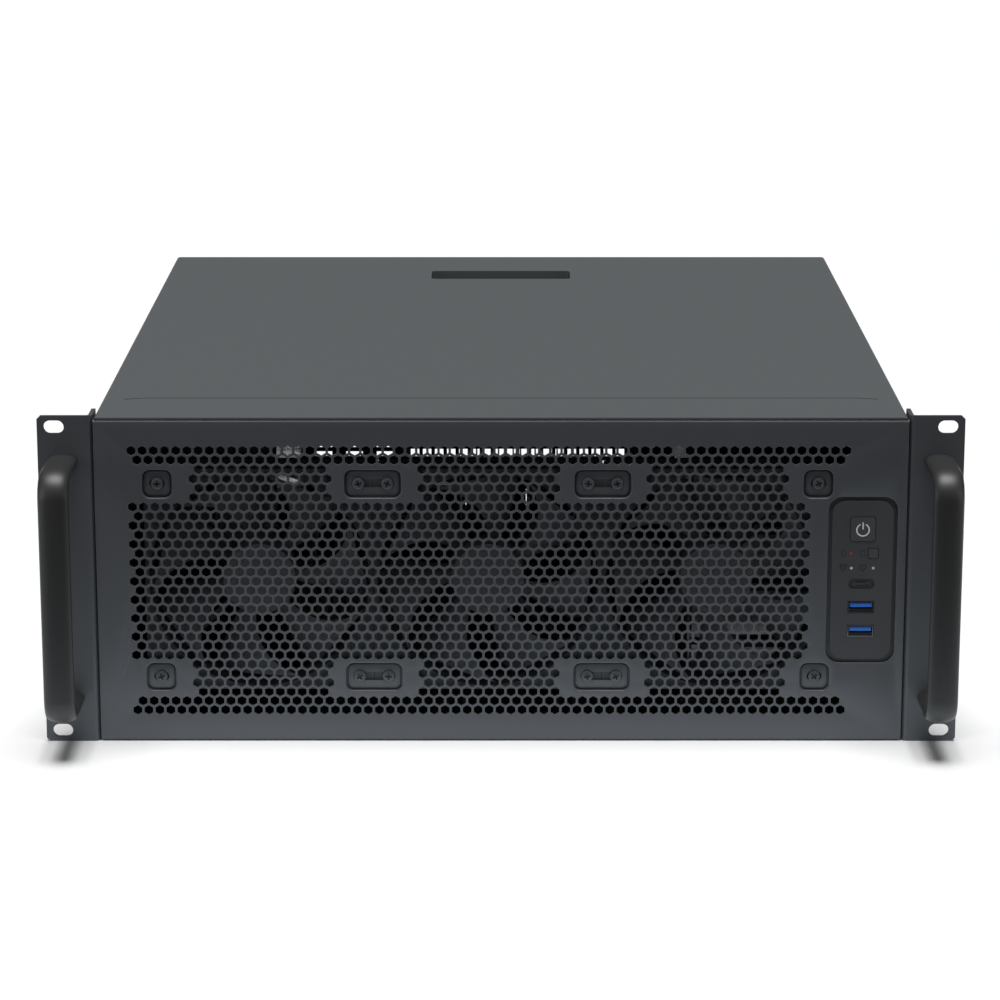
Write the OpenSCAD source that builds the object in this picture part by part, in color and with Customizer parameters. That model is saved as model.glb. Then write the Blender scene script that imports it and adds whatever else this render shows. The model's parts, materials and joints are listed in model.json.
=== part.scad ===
// Rack-mounted graphics server, four units tall, with its fans, boards, drives and power supply.
// The front faces -Y. X runs left to right as seen from the front, and Z is up.
// The origin is on the underside, in the middle of everything that the object covers.
// Depths are counted from the front face of the ears, by behind(depth).

/* [Body] */
// Width of the box between the ears
body_w = 425; // [420:1:460]
// Depth of the box behind the front face
body_d = 480; // [470:5:640]
// Height of the box with its cover on
body_h = 176; // [174:0.5:200]
// Thickness of the folded steel
sheet_t = 1.2; // [0.8:0.1:1.6]
// Thickness of the cover steel
cover_t = 1; // [0.8:0.1:1.4]
// Depth of the cover's side skirts
skirt_h = 11; // [8:0.5:14]
// Air left between parts that lie beside each other
gap = 0.3; // [0.2:0.05:0.5]

/* [Ears and handles] */
// Width of the flange that meets the rack
ear_w = 28.8; // [28:0.1:36]
// How much taller the flange is than the box
ear_over = 1; // [0.5:0.1:1.5]
// Thickness of the ear steel
ear_t = 2.2; // [1.5:0.1:3]
// Length of the ear's side flange
ear_return = 18; // [14:1:40]
// Distance of the upper and lower rack slots from the flange's ends
rack_slot_edge = 5.95; // [5.5:0.05:12]
// Distance of the rack slots from the box
rack_slot_out = 20.05; // [18:0.05:24]
// Length of a rack slot
rack_slot_l = 10.6; // [9:0.1:14]
// Height of a rack slot
rack_slot_w = 7; // [6:0.1:8]
// How far the handle stands in front of the ear
handle_reach = 45; // [38:1:60]
// Distance between the handle's legs
handle_pitch = 129; // [90:1:136]
// Width of the handle's oval section
handle_w = 16; // [12:0.5:18]
// Thickness of the handle's oval section
handle_t = 7; // [6:0.5:9]
// Outer radius of the handle's corners
handle_bend = 15; // [12:0.5:22]
// Distance of the handle's middle from the box
handle_out = 16; // [14:0.5:17]

/* [Front fans] */
// Side of a front fan
fan_size = 120; // [110:1:120]
// Depth of a front fan
fan_d = 25; // [20:1:38]
// Number of blades on a fan
fan_blades = 7; // [5:1:9]
// Radius of a front fan's hub
fan_hub_r = 19; // [14:0.5:22]
// Middle of the fan row, left or right of the body's middle
fan_row_x = -6.9; // [-12:0.1:-2]
// Height of the fan centres above the underside
fan_row_z = 88; // [84:0.5:100]

/* [Front grille] */
// Distance between neighbouring vents in a row
vent_pitch = 11.6; // [10:0.2:20]
// Steel left between two vents
vent_web = 2; // [1.5:0.1:4]
// Bare margin below and above the vents
vent_margin = 11; // [10:0.5:30]
// How far the fan pads are pressed in
pad_press = 1.8; // [1:0.1:2.5]
// Height and width of a fan pad
pad_size = 16; // [14:0.5:18]

/* [Front controls] */
// Width of the control plate
plate_w = 32; // [30:0.5:36]
// Height of the control plate
plate_h = 86; // [84:0.5:96]
// Middle of the control plate, from the right side of the box
plate_in = 23; // [22:0.5:30]
// Height of the control plate's middle above the underside
plate_z = 88.5; // [80:0.5:110]
// Side of the power button
power_size = 13; // [10:0.5:14]
// Side of the reset button
reset_size = 5; // [4:0.25:6]

/* [Main board and cards] */
// Width of the main board
board_w = 305; // [300:1:305]
// Depth of the main board
board_d = 330; // [300:1:330]
// Height of the board standoffs
standoff_h = 6.5; // [6:0.5:9]
// Distance of the rear port opening's right edge from the body's middle
port_right = 92.5; // [90:0.5:94]
// Length of a graphics card
card_l = 267; // [240:1:312]
// Height of a graphics card above its socket
card_h = 92; // [86:1:92]

/* [Drives and power supply] */
// Width of the power supply
psu_w = 86; // [80:1:86]
// Height left above the power supply, up to the top of the box
psu_headroom = 26; // [26:1:34]
// Depth of the power supply
psu_d = 180; // [140:5:190]
// Number of hard drives
drive_count = 4; // [2:1:4]

/* [Cover] */
// Distance of the pressed step from the front edge
step_at = 48; // [40:1:60]
// Width of the finger recess
pull_w = 88; // [60:1:100]
// Distance of the finger recess's middle from the rear edge
pull_from_rear = 65; // [50:1:90]

/* [Hidden] */
$fn = 48;
card_count = 2;
ear_h = body_h + ear_over;
rack_slot_pitch = ear_h - 2 * rack_slot_edge;
fan_hole_pitch = fan_size - 15;
psu_h = body_h - psu_headroom;
slot_pitch = 20.32;
slot_count = 7;
slot_window_w = 14.6;
bracket_w = 18.4;
bracket_t = 0.9;
ledge_d = 12;
port_w = 158.75;
port_h = 44.45;
pcb_t = 1.6;
rear_fan_size = 80;
rear_fan_hole_pitch = 71.5;
rear_fan_d = 25;
rear_fan_hub_r = 16;
drive_w = 101.6;
drive_d = 147;
drive_h = 26.1;
drive_pitch = 32;
cover_gap = 0.2;
flange_w = 12;
panel_return = 12;

front_y = -(body_d + ledge_d - handle_reach) / 2;
tub_h = body_h - cover_t - cover_gap;
wall_x = body_w / 2 - cover_t - 3 * gap;
flange_end = wall_x - sheet_t / 2 - flange_w;
joggle_z = body_h - skirt_h - 2;
inner_x = body_w / 2 - sheet_t;
panel_h = tub_h;
ear_x = body_w / 2;
plate_x = body_w / 2 - plate_in;
fan_pitch = fan_size + 0.2;
fan_front = sheet_t + pad_press;
board_z = sheet_t + standoff_h;
board_top = board_z + pcb_t;
board_right = port_right + 2.5;
board_left = board_right - board_w;
board_rear = body_d - sheet_t - 1;
port_x = port_right - port_w / 2;
port_low = board_z - 2.2;
slot_x0 = port_right - port_w - bracket_w / 2 - 1.3;
card_offset = 6;
bracket_y = body_d - sheet_t - bracket_t;
card_z = board_top + 11.3;
ledge_z = board_top + 105;
psu_x = inner_x - 13 - psu_w / 2;
psu_z = 4;
psu_front = body_d - sheet_t - psu_d;
socket_x = port_x - 3;
socket_at = board_rear - 148;
rear_fan_z = port_low + port_h + 22 + rear_fan_size / 2;
rear_fan_at = body_d - sheet_t - rear_fan_d;
cage_w = drive_w + 2.4;
cage_x = inner_x - 4 - cage_w / 2;
cage_at = 66;

// ---- paths and outlines ----

function unit(v) = v / norm(v);
function left(v) = [-v[1], v[0]];
function turned(v, a) = [v[0] * cos(a) - v[1] * sin(a), v[0] * sin(a) + v[1] * cos(a)];

// Arc of radius r, in n steps, that rounds the corner b between a and c
function corner(a, b, c, r, n) =
  let (u = unit(a - b), v = unit(c - b), half = acos(u * v) / 2,
       centre = b + unit(u + v) * r / sin(half),
       start = b + u * r / tan(half) - centre,
       sweep = sign(cross(b - a, c - b)) * (180 - 2 * half))
  [for (i = [0:n]) centre + turned(start, sweep * i / n)];

// The open path p with its inner corners rounded
function rounded_path(p, r, n = 3) =
  [p[0], for (i = [1:len(p) - 2]) each corner(p[i - 1], p[i], p[i + 1], r, n), p[len(p) - 1]];

// The closed outline p with every corner rounded
function rounded_loop(p, r, n = 4) =
  let (k = len(p))
  [for (i = [0:k - 1]) each corner(p[(i + k - 1) % k], p[i], p[(i + 1) % k], r, n)];

// The open path p moved sideways by d, to its left
function shifted(p, d) =
  [for (i = [0:len(p) - 1])
     let (a = unit(i == 0 ? p[1] - p[0] : p[i] - p[i - 1]),
          b = i == len(p) - 1 ? a : unit(p[i + 1] - p[i]),
          n = unit(left(a) + left(b)))
     p[i] + n * d / (n * left(a))];

function reversed(p) = [for (i = [len(p) - 1:-1:0]) p[i]];
function box_corners(w, h) = [[-w / 2, -h / 2], [w / 2, -h / 2], [w / 2, h / 2], [-w / 2, h / 2]];

// Folded sheet, seen from its end, whose middle follows the path p
module fold(p, t, r = 1.6) {
  q = rounded_path(p, r);
  polygon(concat(shifted(q, t / 2), reversed(shifted(q, -t / 2))));
}

module round_box(w, h, r, n = 4) {
  polygon(rounded_loop(box_corners(w, h), r, n));
}

// Slot of length l and width w with true round ends, along the first axis
module slot(l, w) {
  square([l - w, w], center = true);
  translate([(l - w) / 2, 0]) circle(d = w);
  translate([(w - l) / 2, 0]) circle(d = w);
}

// ---- directions ----

module behind(d) {
  translate([0, front_y + d, 0]) children();
}

// Outline drawn in X and Z, made d deep towards the rear
module deep(d) {
  translate([0, d, 0]) rotate([90, 0, 0]) linear_extrude(d) children();
}

// Outline drawn in Y and Z, made w wide about the middle
module wide(w) {
  rotate([90, 0, 90]) linear_extrude(w, center = true) children();
}

module rod_y(r, l) {
  rotate([-90, 0, 0]) cylinder(r = r, h = l);
}

module rod_x(r, l) {
  rotate([0, 90, 0]) cylinder(r = r, h = l);
}

// Domed screw head at the origin, facing -Y, with its shank towards +Y
module pan_screw(head_r, head_h, shank_r, shank_l) {
  translate([0, -head_h, 0]) {
    difference() {
      rod_y(head_r, head_h);
      translate([-head_r * 0.6, -1, -0.4]) cube([head_r * 1.2, 1 + head_h * 0.6, 0.8]);
      translate([-0.4, -1, -head_r * 0.6]) cube([0.8, 1 + head_h * 0.6, head_r * 1.2]);
    }
    rod_y(shank_r, head_h + shank_l);
  }
}

// ---- body ----

// The floor and both side walls are one folded sheet, stepped in at the top for the cover's skirts
module chassis_base() {
  xw = body_w / 2 - sheet_t / 2;
  xj = wall_x - sheet_t / 2;
  zt = tub_h - sheet_t / 2;
  zf = sheet_t / 2;
  path = [[-flange_end, zt], [-xj, zt], [-xj, joggle_z + 2], [-xw, joggle_z - 1], [-xw, zf],
          [xw, zf], [xw, joggle_z - 1], [xj, joggle_z + 2], [xj, zt], [flange_end, zt]];
  color([0.16, 0.17, 0.18])
    behind(sheet_t)
      difference() {
        deep(body_d - 2 * sheet_t) fold(path, sheet_t);
        for (side = [-1, 1]) {
          for (y = rail_hole_depths) translate([side * body_w / 2, y, fan_row_z]) rod_both(2.25, 8);
          for (z = ear_screw_heights)
            translate([side * body_w / 2, ear_screw_at - sheet_t, z]) rod_both(1.7, 8);
        }
        for (p = standoff_places)
          translate([p[0], p[1] - sheet_t, -1]) cylinder(r = 1.6, h = sheet_t + 2);
        for (x = tie_slot_places)
          translate([x, 62, -1]) cube([3, 14, sheet_t + 2]);
      }
}

module rod_both(r, l) {
  translate([-l / 2, 0, 0]) rod_x(r, l);
}

rail_hole_depths = [for (i = [0:3]) 70 + i * 110];
ear_screw_at = ear_return * 0.55;
ear_screw_heights = [for (i = [0:3]) 18 + i * (joggle_z - 40) / 3];
standoff_places = [for (x = [board_left + 10, board_left + 142, board_right - 10],
                        y = [board_rear - board_d + 10, board_rear - 168, board_rear - 20]) [x, y]];
tie_slot_places = [for (x = [-150:60:90]) each [x, x + 9]];

// Rear wall: port opening, card slots with their ledge, power supply opening and fan vents
module rear_panel() {
  color([0.16, 0.17, 0.18])
    behind(body_d - sheet_t) {
      difference() {
        union() {
          deep(sheet_t) polygon(rounded_loop(wall_outline, 0.6, 2));
          for (side = [-1, 1])
            translate([side * (inner_x - gap / 2 - sheet_t / 2), -panel_return / 2, 80])
              cube([sheet_t, panel_return + 0.2, 116], center = true);
          translate([slot_middle - slot_span / 2, sheet_t - 0.1, ledge_z - sheet_t])
            cube([slot_span, ledge_d + 0.1, sheet_t]);
        }
        translate([port_x, -1, port_low + port_h / 2]) deep(sheet_t + 2) round_box(port_w, port_h, 1);
        for (i = [0:slot_count - 1])
          translate([slot_x(i), -1, (card_z - 4 + ledge_z - 4) / 2])
            deep(sheet_t + 2) square([slot_window_w, ledge_z - card_z - 4], center = true);
        translate([slot_middle, -1, ledge_z + 1.6])
          deep(sheet_t + 2) square([slot_span - 4, 3.2], center = true);
        translate([psu_x, -1, psu_z + psu_h / 2])
          deep(sheet_t + 2) square([psu_w - 14, psu_h - 14], center = true);
        for (p = psu_screw_places) translate([p[0], -1, p[1]]) rod_y(2.1, sheet_t + 2);
        for (x = rear_fan_places) translate([x, -1, rear_fan_z]) deep(sheet_t + 2) fan_vents();
        for (x = rear_fan_places, sx = [-1, 1], sz = [-1, 1])
          translate([x, -1, rear_fan_z] + rear_fan_hole_pitch / 2 * [sx, 0, sz]) rod_y(2.1, sheet_t + 2);
        for (x = cover_screw_places) translate([x, -1, cover_screw_z]) rod_y(2.3, sheet_t + 2);
        for (i = [0:slot_count - 1])
          translate([slot_x(i), ledge_d / 2 + sheet_t / 2, ledge_z - 4]) cylinder(r = 1.4, h = 5);
      }
    }
}

wall_outline = [[-body_w / 2, 0], [body_w / 2, 0], [body_w / 2, joggle_z - 1], [wall_x, joggle_z - 1],
                [wall_x, tub_h], [-wall_x, tub_h], [-wall_x, joggle_z - 1], [-body_w / 2, joggle_z - 1]];

function slot_x(i) = slot_x0 - i * slot_pitch;
slot_middle = (slot_x(0) + slot_x(slot_count - 1)) / 2;
slot_span = slot_pitch * (slot_count - 1) + bracket_w + 5;
rear_fan_mid = (slot_x0 + bracket_w / 2 + psu_x - psu_w / 2) / 2;
rear_fan_places = [for (side = [-1, 1]) rear_fan_mid + side * (rear_fan_size / 2 + 2)];
cover_screw_places = [-150, 150];
cover_screw_z = tub_h - 9;
psu_screw_places = [[psu_x - psu_w / 2 + 5, psu_z + 6], [psu_x - psu_w / 2 + 5, psu_z + psu_h - 6],
                    [psu_x + psu_w / 2 - 5, psu_z + 6], [psu_x + psu_w / 2 - 5, psu_z + psu_h - 20]];

// Ring of hexagon vents in front of a rear fan
module fan_vents() {
  pitch = 9.4;
  reach = rear_fan_size / 2 - 5;
  for (row = [-4:4], i = [-5:5])
    let (x = (i + (row % 2 == 0 ? 0 : 0.5)) * pitch, z = row * pitch * sqrt(3) / 2)
      if (norm([x, z]) < reach)
        translate([x, z]) rotate(30) circle(r = 4.4, $fn = 6);
}

// ---- front ----

vent_row = vent_pitch * sqrt(3) / 2;
vent_low = vent_margin + vent_pitch / 2;
vent_rows = floor((panel_h - 2 * vent_low) / vent_row);
vent_left = -body_w / 2 + 20;
vent_right = body_w / 2 - 32;
plate_left = plate_x - plate_w / 2;
pad_single = pad_size;
pad_double = pad_size + fan_pitch - fan_hole_pitch;
pads = [for (z = [-1, 1]) each
        [[fan_x(0) - fan_hole_pitch / 2, fan_row_z + z * fan_hole_pitch / 2, pad_single],
         [(fan_x(0) + fan_x(1)) / 2, fan_row_z + z * fan_hole_pitch / 2, pad_double],
         [(fan_x(1) + fan_x(2)) / 2, fan_row_z + z * fan_hole_pitch / 2, pad_double],
         [fan_x(2) + fan_hole_pitch / 2, fan_row_z + z * fan_hole_pitch / 2, pad_single]]];
fan_screw_places = [for (i = [0:2], sx = [-1, 1], sz = [-1, 1])
                    [fan_x(i) + sx * fan_hole_pitch / 2, fan_row_z + sz * fan_hole_pitch / 2]];

function fan_x(i) = fan_row_x + (i - 1) * fan_pitch;

// A vent is left out where it would reach a fan pad, the control plate or the margin beside it
function vent_fits(x, z) =
  let (r = vent_pitch / 2,
       near_plate = abs(z - plate_z) < plate_h / 2 + r + 3 && x + r > plate_left - 12,
       near_pad = len([for (p = pads)
                       if (abs(x - p[0]) < p[2] / 2 + r && abs(z - p[1]) < pad_size / 2 + r) 1]) > 0)
  !near_plate && !near_pad && x + r < vent_right;

module vents() {
  side = vent_pitch - vent_web;
  columns = ceil((vent_right - vent_left) / vent_pitch);
  for (row = [0:vent_rows], i = [0:columns])
    let (x = vent_left + (i + (row % 2) / 2) * vent_pitch, z = vent_low + row * vent_row)
      if (vent_fits(x, z))
        translate([x, z]) rotate(30) circle(d = side * 2 / sqrt(3), $fn = 6);
}

// Folded face with its top and bottom turned back, pierced by the vents, with pressed-in fan pads
module front_panel() {
  face = [[panel_return, panel_h - sheet_t / 2], [sheet_t / 2, panel_h - sheet_t / 2],
          [sheet_t / 2, sheet_t * 1.5 + 0.1], [panel_return, sheet_t * 1.5 + 0.1]];
  color([0.15, 0.155, 0.17])
    behind(0) {
      difference() {
        union() {
          wide(body_w - 2 * gap)
            fold([[sheet_t / 2, panel_h - gap], [sheet_t / 2, 0.4]], sheet_t);
          wide(2 * (flange_end - gap)) fold(face, sheet_t, 1.2);
        }
        translate([0, -1, 0]) deep(sheet_t + 2) vents();
        for (p = pads)
          translate([p[0], -1, p[1]]) deep(sheet_t + 2) round_box(p[2] - 1, pad_size - 1, 4);
        translate([plate_x, -1, plate_z])
          deep(sheet_t + 2) round_box(plate_w + gap, plate_h + gap, 7, 6);
      }
      for (p = pads) translate([p[0], 0, p[1]]) fan_pad(p[2]);
    }
}

// Dish pressed into the sheet, pierced by a slot for the fan screws
module fan_pad(w) {
  depth = pad_press + sheet_t;
  difference() {
    deep(depth) round_box(w, pad_size, 4.5);
    translate([0, -1, 0]) deep(pad_press + 1) round_box(w - 2 * sheet_t, pad_size - 2 * sheet_t, 3.3);
    translate([0, -1, 0]) deep(depth + 2) slot(w - pad_size + 8, 5.2);
  }
}

module ear(side) {
  mirror([side < 0 ? 1 : 0, 0, 0])
    translate([ear_x, front_y, 0])
      difference() {
        linear_extrude(ear_h)
          fold([[ear_t / 2, ear_return], [ear_t / 2, ear_t / 2], [ear_w, ear_t / 2]], ear_t, 2);
        for (sz = [-1, 1])
          translate([rack_slot_out, -1, ear_h / 2 + sz * rack_slot_pitch / 2])
            deep(ear_t + 2) slot(rack_slot_l, rack_slot_w);
        for (sz = [-1, 1])
          translate([handle_out, -1, ear_h / 2 + sz * handle_pitch / 2]) rod_y(2.15, ear_t + 2);
        for (z = ear_screw_heights)
          translate([-1, ear_screw_at, z]) rod_x(2.15, ear_t + 2);
        for (sz = [0, 1])
          translate([ear_w, ear_t / 2, sz * ear_h]) rotate([0, 45, 0])
            cube([2.6, ear_t + 2, 2.6], center = true);
      }
}

module left_ear() {
  color([0.16, 0.165, 0.18]) ear(-1);
}

module right_ear() {
  color([0.16, 0.165, 0.18]) ear(1);
}

module ear_screws() {
  color([0.2, 0.2, 0.21])
    for (side = [-1, 1], z = ear_screw_heights)
      mirror([side < 0 ? 1 : 0, 0, 0])
        translate([ear_x + ear_t, front_y + ear_screw_at, z])
          rotate([0, 0, 90]) pan_screw(3.2, 1.8, 1.5, ear_t + sheet_t + 1.5);
}

// Oval section of the handle bar
module handle_section() {
  scale_x = handle_w - handle_t;
  square([scale_x, handle_t], center = true);
  translate([scale_x / 2, 0]) circle(d = handle_t);
  translate([-scale_x / 2, 0]) circle(d = handle_t);
}

// Bent bar: two legs that stand on the ear, two round corners and the grip between them
module handle(side) {
  rc = handle_bend - handle_t / 2;
  leg = handle_reach - handle_bend;
  half = handle_pitch / 2;
  translate([side * (ear_x + handle_out), front_y, ear_h / 2])
    difference() {
      union() {
        for (sz = [-1, 1]) {
          translate([0, 0, sz * half]) rotate([90, 0, 0]) linear_extrude(leg) handle_section();
          translate([0, -leg, sz * (half - rc)]) rotate([0, 90, 0]) mirror([sz > 0 ? 1 : 0, 0, 0])
            rotate([0, 0, -90]) rotate_extrude(angle = 90)
              translate([rc, 0]) rotate(90) handle_section();
        }
        translate([0, -leg - rc, 0]) linear_extrude(2 * (half - rc), center = true) handle_section();
      }
      for (sz = [-1, 1]) translate([0, -12, sz * half]) rod_y(1.65, 13);
    }
}

module left_handle() {
  color([0.08, 0.08, 0.085]) handle(-1);
}

module right_handle() {
  color([0.08, 0.08, 0.085]) handle(1);
}

// Screws that hold the handles from behind the ears
module handle_screws() {
  color([0.2, 0.2, 0.21])
    for (side = [-1, 1], sz = [-1, 1])
      translate([side * (ear_x + handle_out), front_y + ear_t, ear_h / 2 + sz * handle_pitch / 2])
        mirror([0, 1, 0]) pan_screw(3.6, 2.2, 1.6, ear_t + 10);
}

// ---- cover ----

// Flat lid with side skirts, a rear flange, a pressed line near the front and a finger recess
module top_cover() {
  xs = body_w / 2 - gap * 1.5 - cover_t / 2;
  zt = body_h - cover_t / 2;
  skirt = [[-xs, body_h - skirt_h], [-xs, zt], [xs, zt], [xs, body_h - skirt_h]];
  end = body_d + gap;
  pull_at = body_d - pull_from_rear;
  line = [[-body_w / 2 + 12, step_at - 3], [-body_w / 2 + 22, step_at],
          [body_w / 2 - 22, step_at], [body_w / 2 - 12, step_at - 3]];
  color([0.30, 0.32, 0.33])
    behind(0) {
      difference() {
        union() {
          translate([0, gap, 0]) deep(end - gap) fold(skirt, cover_t, 1.4);
          translate([0, end, body_h - 16]) deep(cover_t)
            translate([-xs + 4, 0]) square([2 * xs - 8, 16 - 0.4]);
        }
        translate([0, 0, body_h - cover_t / 2]) linear_extrude(2) fold(line, 1.3, 4);
        translate([-body_w / 2, -1, 0]) cube([body_w, 1 + sheet_t + 2 * gap, body_h - cover_t]);
        translate([0, pull_at, body_h - cover_t - 1]) linear_extrude(cover_t + 2)
          round_box(pull_w, 28, 3);
        for (x = cover_screw_places) translate([x, end - 1, cover_screw_z]) rod_y(2, cover_t + 2);
      }
      translate([0, pull_at, 0])
        difference() {
          translate([0, 0, body_h - 7.5]) linear_extrude(7.5 - cover_t / 2)
            round_box(pull_w + 2 * cover_t, 28 + 2 * cover_t, 4);
          translate([0, 0, body_h - 7.5 + cover_t]) linear_extrude(10) round_box(pull_w, 28, 3);
        }
    }
}

// Captive knurled screws in the cover's rear flange
module cover_screws() {
  color([0.55, 0.56, 0.58])
    for (x = cover_screw_places)
      translate([x, front_y + body_d + gap + cover_t, cover_screw_z]) {
        difference() {
          rod_y(5, 8);
          for (a = [0:30:330])
            rotate([0, a, 0]) translate([5.2, -1, 0]) rod_y(0.6, 10);
        }
        translate([0, -cover_t - gap - sheet_t - 5, 0]) rod_y(1.7, 12);
      }
}

// ---- controls ----

plate_t = 2.6;
button_row = plate_z + 27.7;
light_row_1 = plate_z + 14.7;
light_row_2 = plate_z + 6.6;
usb_c_z = plate_z - 2;
usb_a_heights = [plate_z - 14.7, plate_z - 27.8];
reset_x = plate_x + 5.7;
light_places = [[plate_x - 5.9, light_row_1], [plate_x - 5.6, light_row_2], [plate_x + 5.9, light_row_2]];
control_board_at = plate_t + 3.4;

// Moulded insert that carries the buttons, lights and ports
module control_plate() {
  color([0.09, 0.09, 0.1])
    behind(0)
      difference() {
        union() {
          translate([plate_x, 0, plate_z]) deep(plate_t) round_box(plate_w, plate_h, 6.8, 6);
          translate([plate_x, sheet_t + 0.05, plate_z])
            deep(plate_t - sheet_t - 0.05) round_box(plate_w + 4, plate_h + 4, 8, 6);
          for (sz = [-1, 1])
            translate([plate_x, plate_t - 0.1, plate_z + sz * (plate_h / 2 - 4)])
              rod_y(2.6, control_board_at - plate_t + 0.1);
        }
        translate([plate_x, -1, button_row]) deep(plate_t + 2)
          round_box(power_size + 2 * gap, power_size + 2 * gap, 1.6);
        translate([reset_x, -1, light_row_1]) deep(plate_t + 2)
          round_box(reset_size + 2 * gap, reset_size + 2 * gap, 0.7, 2);
        for (p = light_places) translate([p[0], -1, p[1]]) rod_y(0.95, plate_t + 2);
        translate([plate_x, -1, usb_c_z]) deep(plate_t + 2) round_box(9.6, 4.2, 2, 4);
        translate([plate_x, -1, usb_c_z]) deep(1.9) round_box(13.6, 5.9, 2.8, 4);
        for (z = usb_a_heights)
          translate([plate_x, -1, z]) deep(plate_t + 2) square([14, 6.8], center = true);
      }
}

// Square button cap with a collar behind the plate and a stem
module button(size, r) {
  translate([0, -0.3, 0]) deep(plate_t + 0.3 + gap) round_box(size, size, r);
  translate([0, plate_t + gap, 0]) deep(0.8) round_box(size + 1.4, size + 1.4, r);
  translate([0, plate_t + gap + 0.7, 0]) rod_y(1.2, 0.9);
}

module power_button() {
  color([0.1, 0.1, 0.11]) translate([plate_x, front_y, button_row]) button(power_size, 1.4);
}

module reset_button() {
  color([0.1, 0.1, 0.11]) translate([reset_x, front_y, light_row_1]) button(reset_size, 0.5);
}

// Light pipes between the plate and the control board
module status_lights() {
  color([0.75, 0.2, 0.15])
    for (p = light_places)
      translate([p[0], front_y + 0.1, p[1]]) rod_y(0.85, control_board_at - 0.1);
}

module usb_c_port() {
  color([0.6, 0.61, 0.62])
    translate([plate_x, front_y + 0.9, usb_c_z]) {
      difference() {
        deep(control_board_at - 0.9) round_box(9.2, 3.8, 1.85, 4);
        translate([0, -1, 0]) deep(5) round_box(8.4, 3, 1.45, 4);
      }
      translate([0, 0.4, 0]) deep(4) square([6.6, 0.8], center = true);
    }
}

module usb_a_shells() {
  color([0.62, 0.63, 0.64])
    for (z = usb_a_heights)
      translate([plate_x, front_y + 0.2, z])
        difference() {
          deep(control_board_at - 0.2) square([13.4, 6], center = true);
          translate([0, -1, 0]) deep(control_board_at - 0.2) square([12.6, 5.2], center = true);
        }
}

module usb_a_tongues() {
  color([0.1, 0.3, 0.75])
    for (z = usb_a_heights)
      translate([plate_x, front_y + 0.7, z + 0.9])
        deep(control_board_at - 1.7) square([11.4, 1.9], center = true);
}

// Small board behind the plate, with the switches, the port bodies and a cable header
module control_board() {
  color([0.07, 0.22, 0.13])
    behind(control_board_at) {
      translate([plate_x, 0, plate_z]) deep(pcb_t) square([plate_w - 4, plate_h - 2], center = true);
      translate([plate_x, pcb_t, plate_z - 15]) deep(6) square([20, 7], center = true);
      translate([plate_x, pcb_t, plate_z + 15]) deep(5) square([12, 9], center = true);
    }
}

// ---- axial fans ----

// Square frame with a round duct, two flanges, corner holes, motor boss and struts
module axial_frame(size, depth, hole_pitch, hub_r) {
  duct_r = size / 2 - 2;
  flange = 3.5;
  difference() {
    union() {
      for (y = [0, depth - flange])
        translate([0, y, 0]) deep(flange) round_box(size, size, size * 0.05, 4);
      rod_y(duct_r + 1.4, depth);
    }
    translate([0, -1, 0]) rod_y(duct_r, depth + 2);
    for (sx = [-1, 1], sz = [-1, 1])
      translate([sx * hole_pitch / 2, -1, sz * hole_pitch / 2]) rod_y(2.2, depth + 2);
  }
  translate([0, depth - 3.4, 0]) {
    rod_y(hub_r - 1, 3);
    for (a = [45:90:315])
      rotate([0, a, 0]) translate([hub_r - 3, 0.4, -1.5]) cube([duct_r - hub_r + 3.6, 2.2, 3]);
  }
  translate([0, depth - 12, 0]) rod_y(hub_r * 0.5, 10);
}

// Outline of one blade seen along the shaft: it widens outwards and sweeps forward
function blade_outline(r0, r1, n = 6) =
  let (steps = [for (i = [0:n]) i / n],
       edge = function(t, lead) let (r = r0 + (r1 - r0) * t, a = 90 + 26 * t * t + lead * (17 + 4 * t))
                r * [cos(a), sin(a)])
  concat([for (t = steps) edge(t, -1)], reversed([for (t = steps) edge(t, 1)]));

// Cambered blade: a curved slab that crosses the hub at an angle, trimmed to the outline
module blade(r0, r1, depth) {
  camber = r1 * 1.1;
  reach = r1 * 1.3;
  intersection() {
    rotate([90, 0, 0]) translate([0, 0, -depth]) linear_extrude(depth) polygon(blade_outline(r0, r1));
    translate([-r1 * 0.2, depth / 2, 0]) rotate([0, 0, 31])
      translate([0, camber, 0])
        difference() {
          cylinder(r = camber + 0.8, h = reach);
          translate([0, 0, -1]) cylinder(r = camber - 0.8, h = reach + 2);
          translate([-camber * 2, 0, -1]) cube([camber * 4, camber * 2, reach + 2]);
        }
  }
}

// Hub cup with blades, turning about the frame's shaft
module axial_rotor(size, depth, hub_r) {
  tip = size / 2 - 2 - 0.8;
  difference() {
    union() {
      translate([0, 1.5, 0]) rod_y(hub_r, depth - 5.5);
      for (i = [0:fan_blades - 1])
        rotate([0, i * 360 / fan_blades, 0]) translate([0, 1.8, 0]) blade(hub_r - 1, tip, depth - 6);
    }
    translate([0, 3.2, 0]) rod_y(hub_r - 1.6, depth);
  }
  translate([0, 2.5, 0])
    difference() {
      rod_y(hub_r * 0.5 + 2, depth - 7);
      translate([0, depth - 14.5 - 0.3, 0]) rod_y(hub_r * 0.5 + 0.05, depth);
    }
}

module fan_frame(i) {
  color([0.11, 0.11, 0.12])
    translate([fan_x(i), front_y + fan_front, fan_row_z])
      axial_frame(fan_size, fan_d, fan_hole_pitch, fan_hub_r);
}

module fan_rotor(i) {
  color([0.18, 0.18, 0.19])
    translate([fan_x(i), front_y + fan_front, fan_row_z])
      rotate([0, i * 17, 0]) axial_rotor(fan_size, fan_d, fan_hub_r);
}

module fan_screws() {
  color([0.12, 0.12, 0.13])
    for (p = fan_screw_places)
      translate([p[0], front_y + pad_press, p[1]]) pan_screw(3.1, 1.6, 1.9, sheet_t + 6);
}

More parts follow.
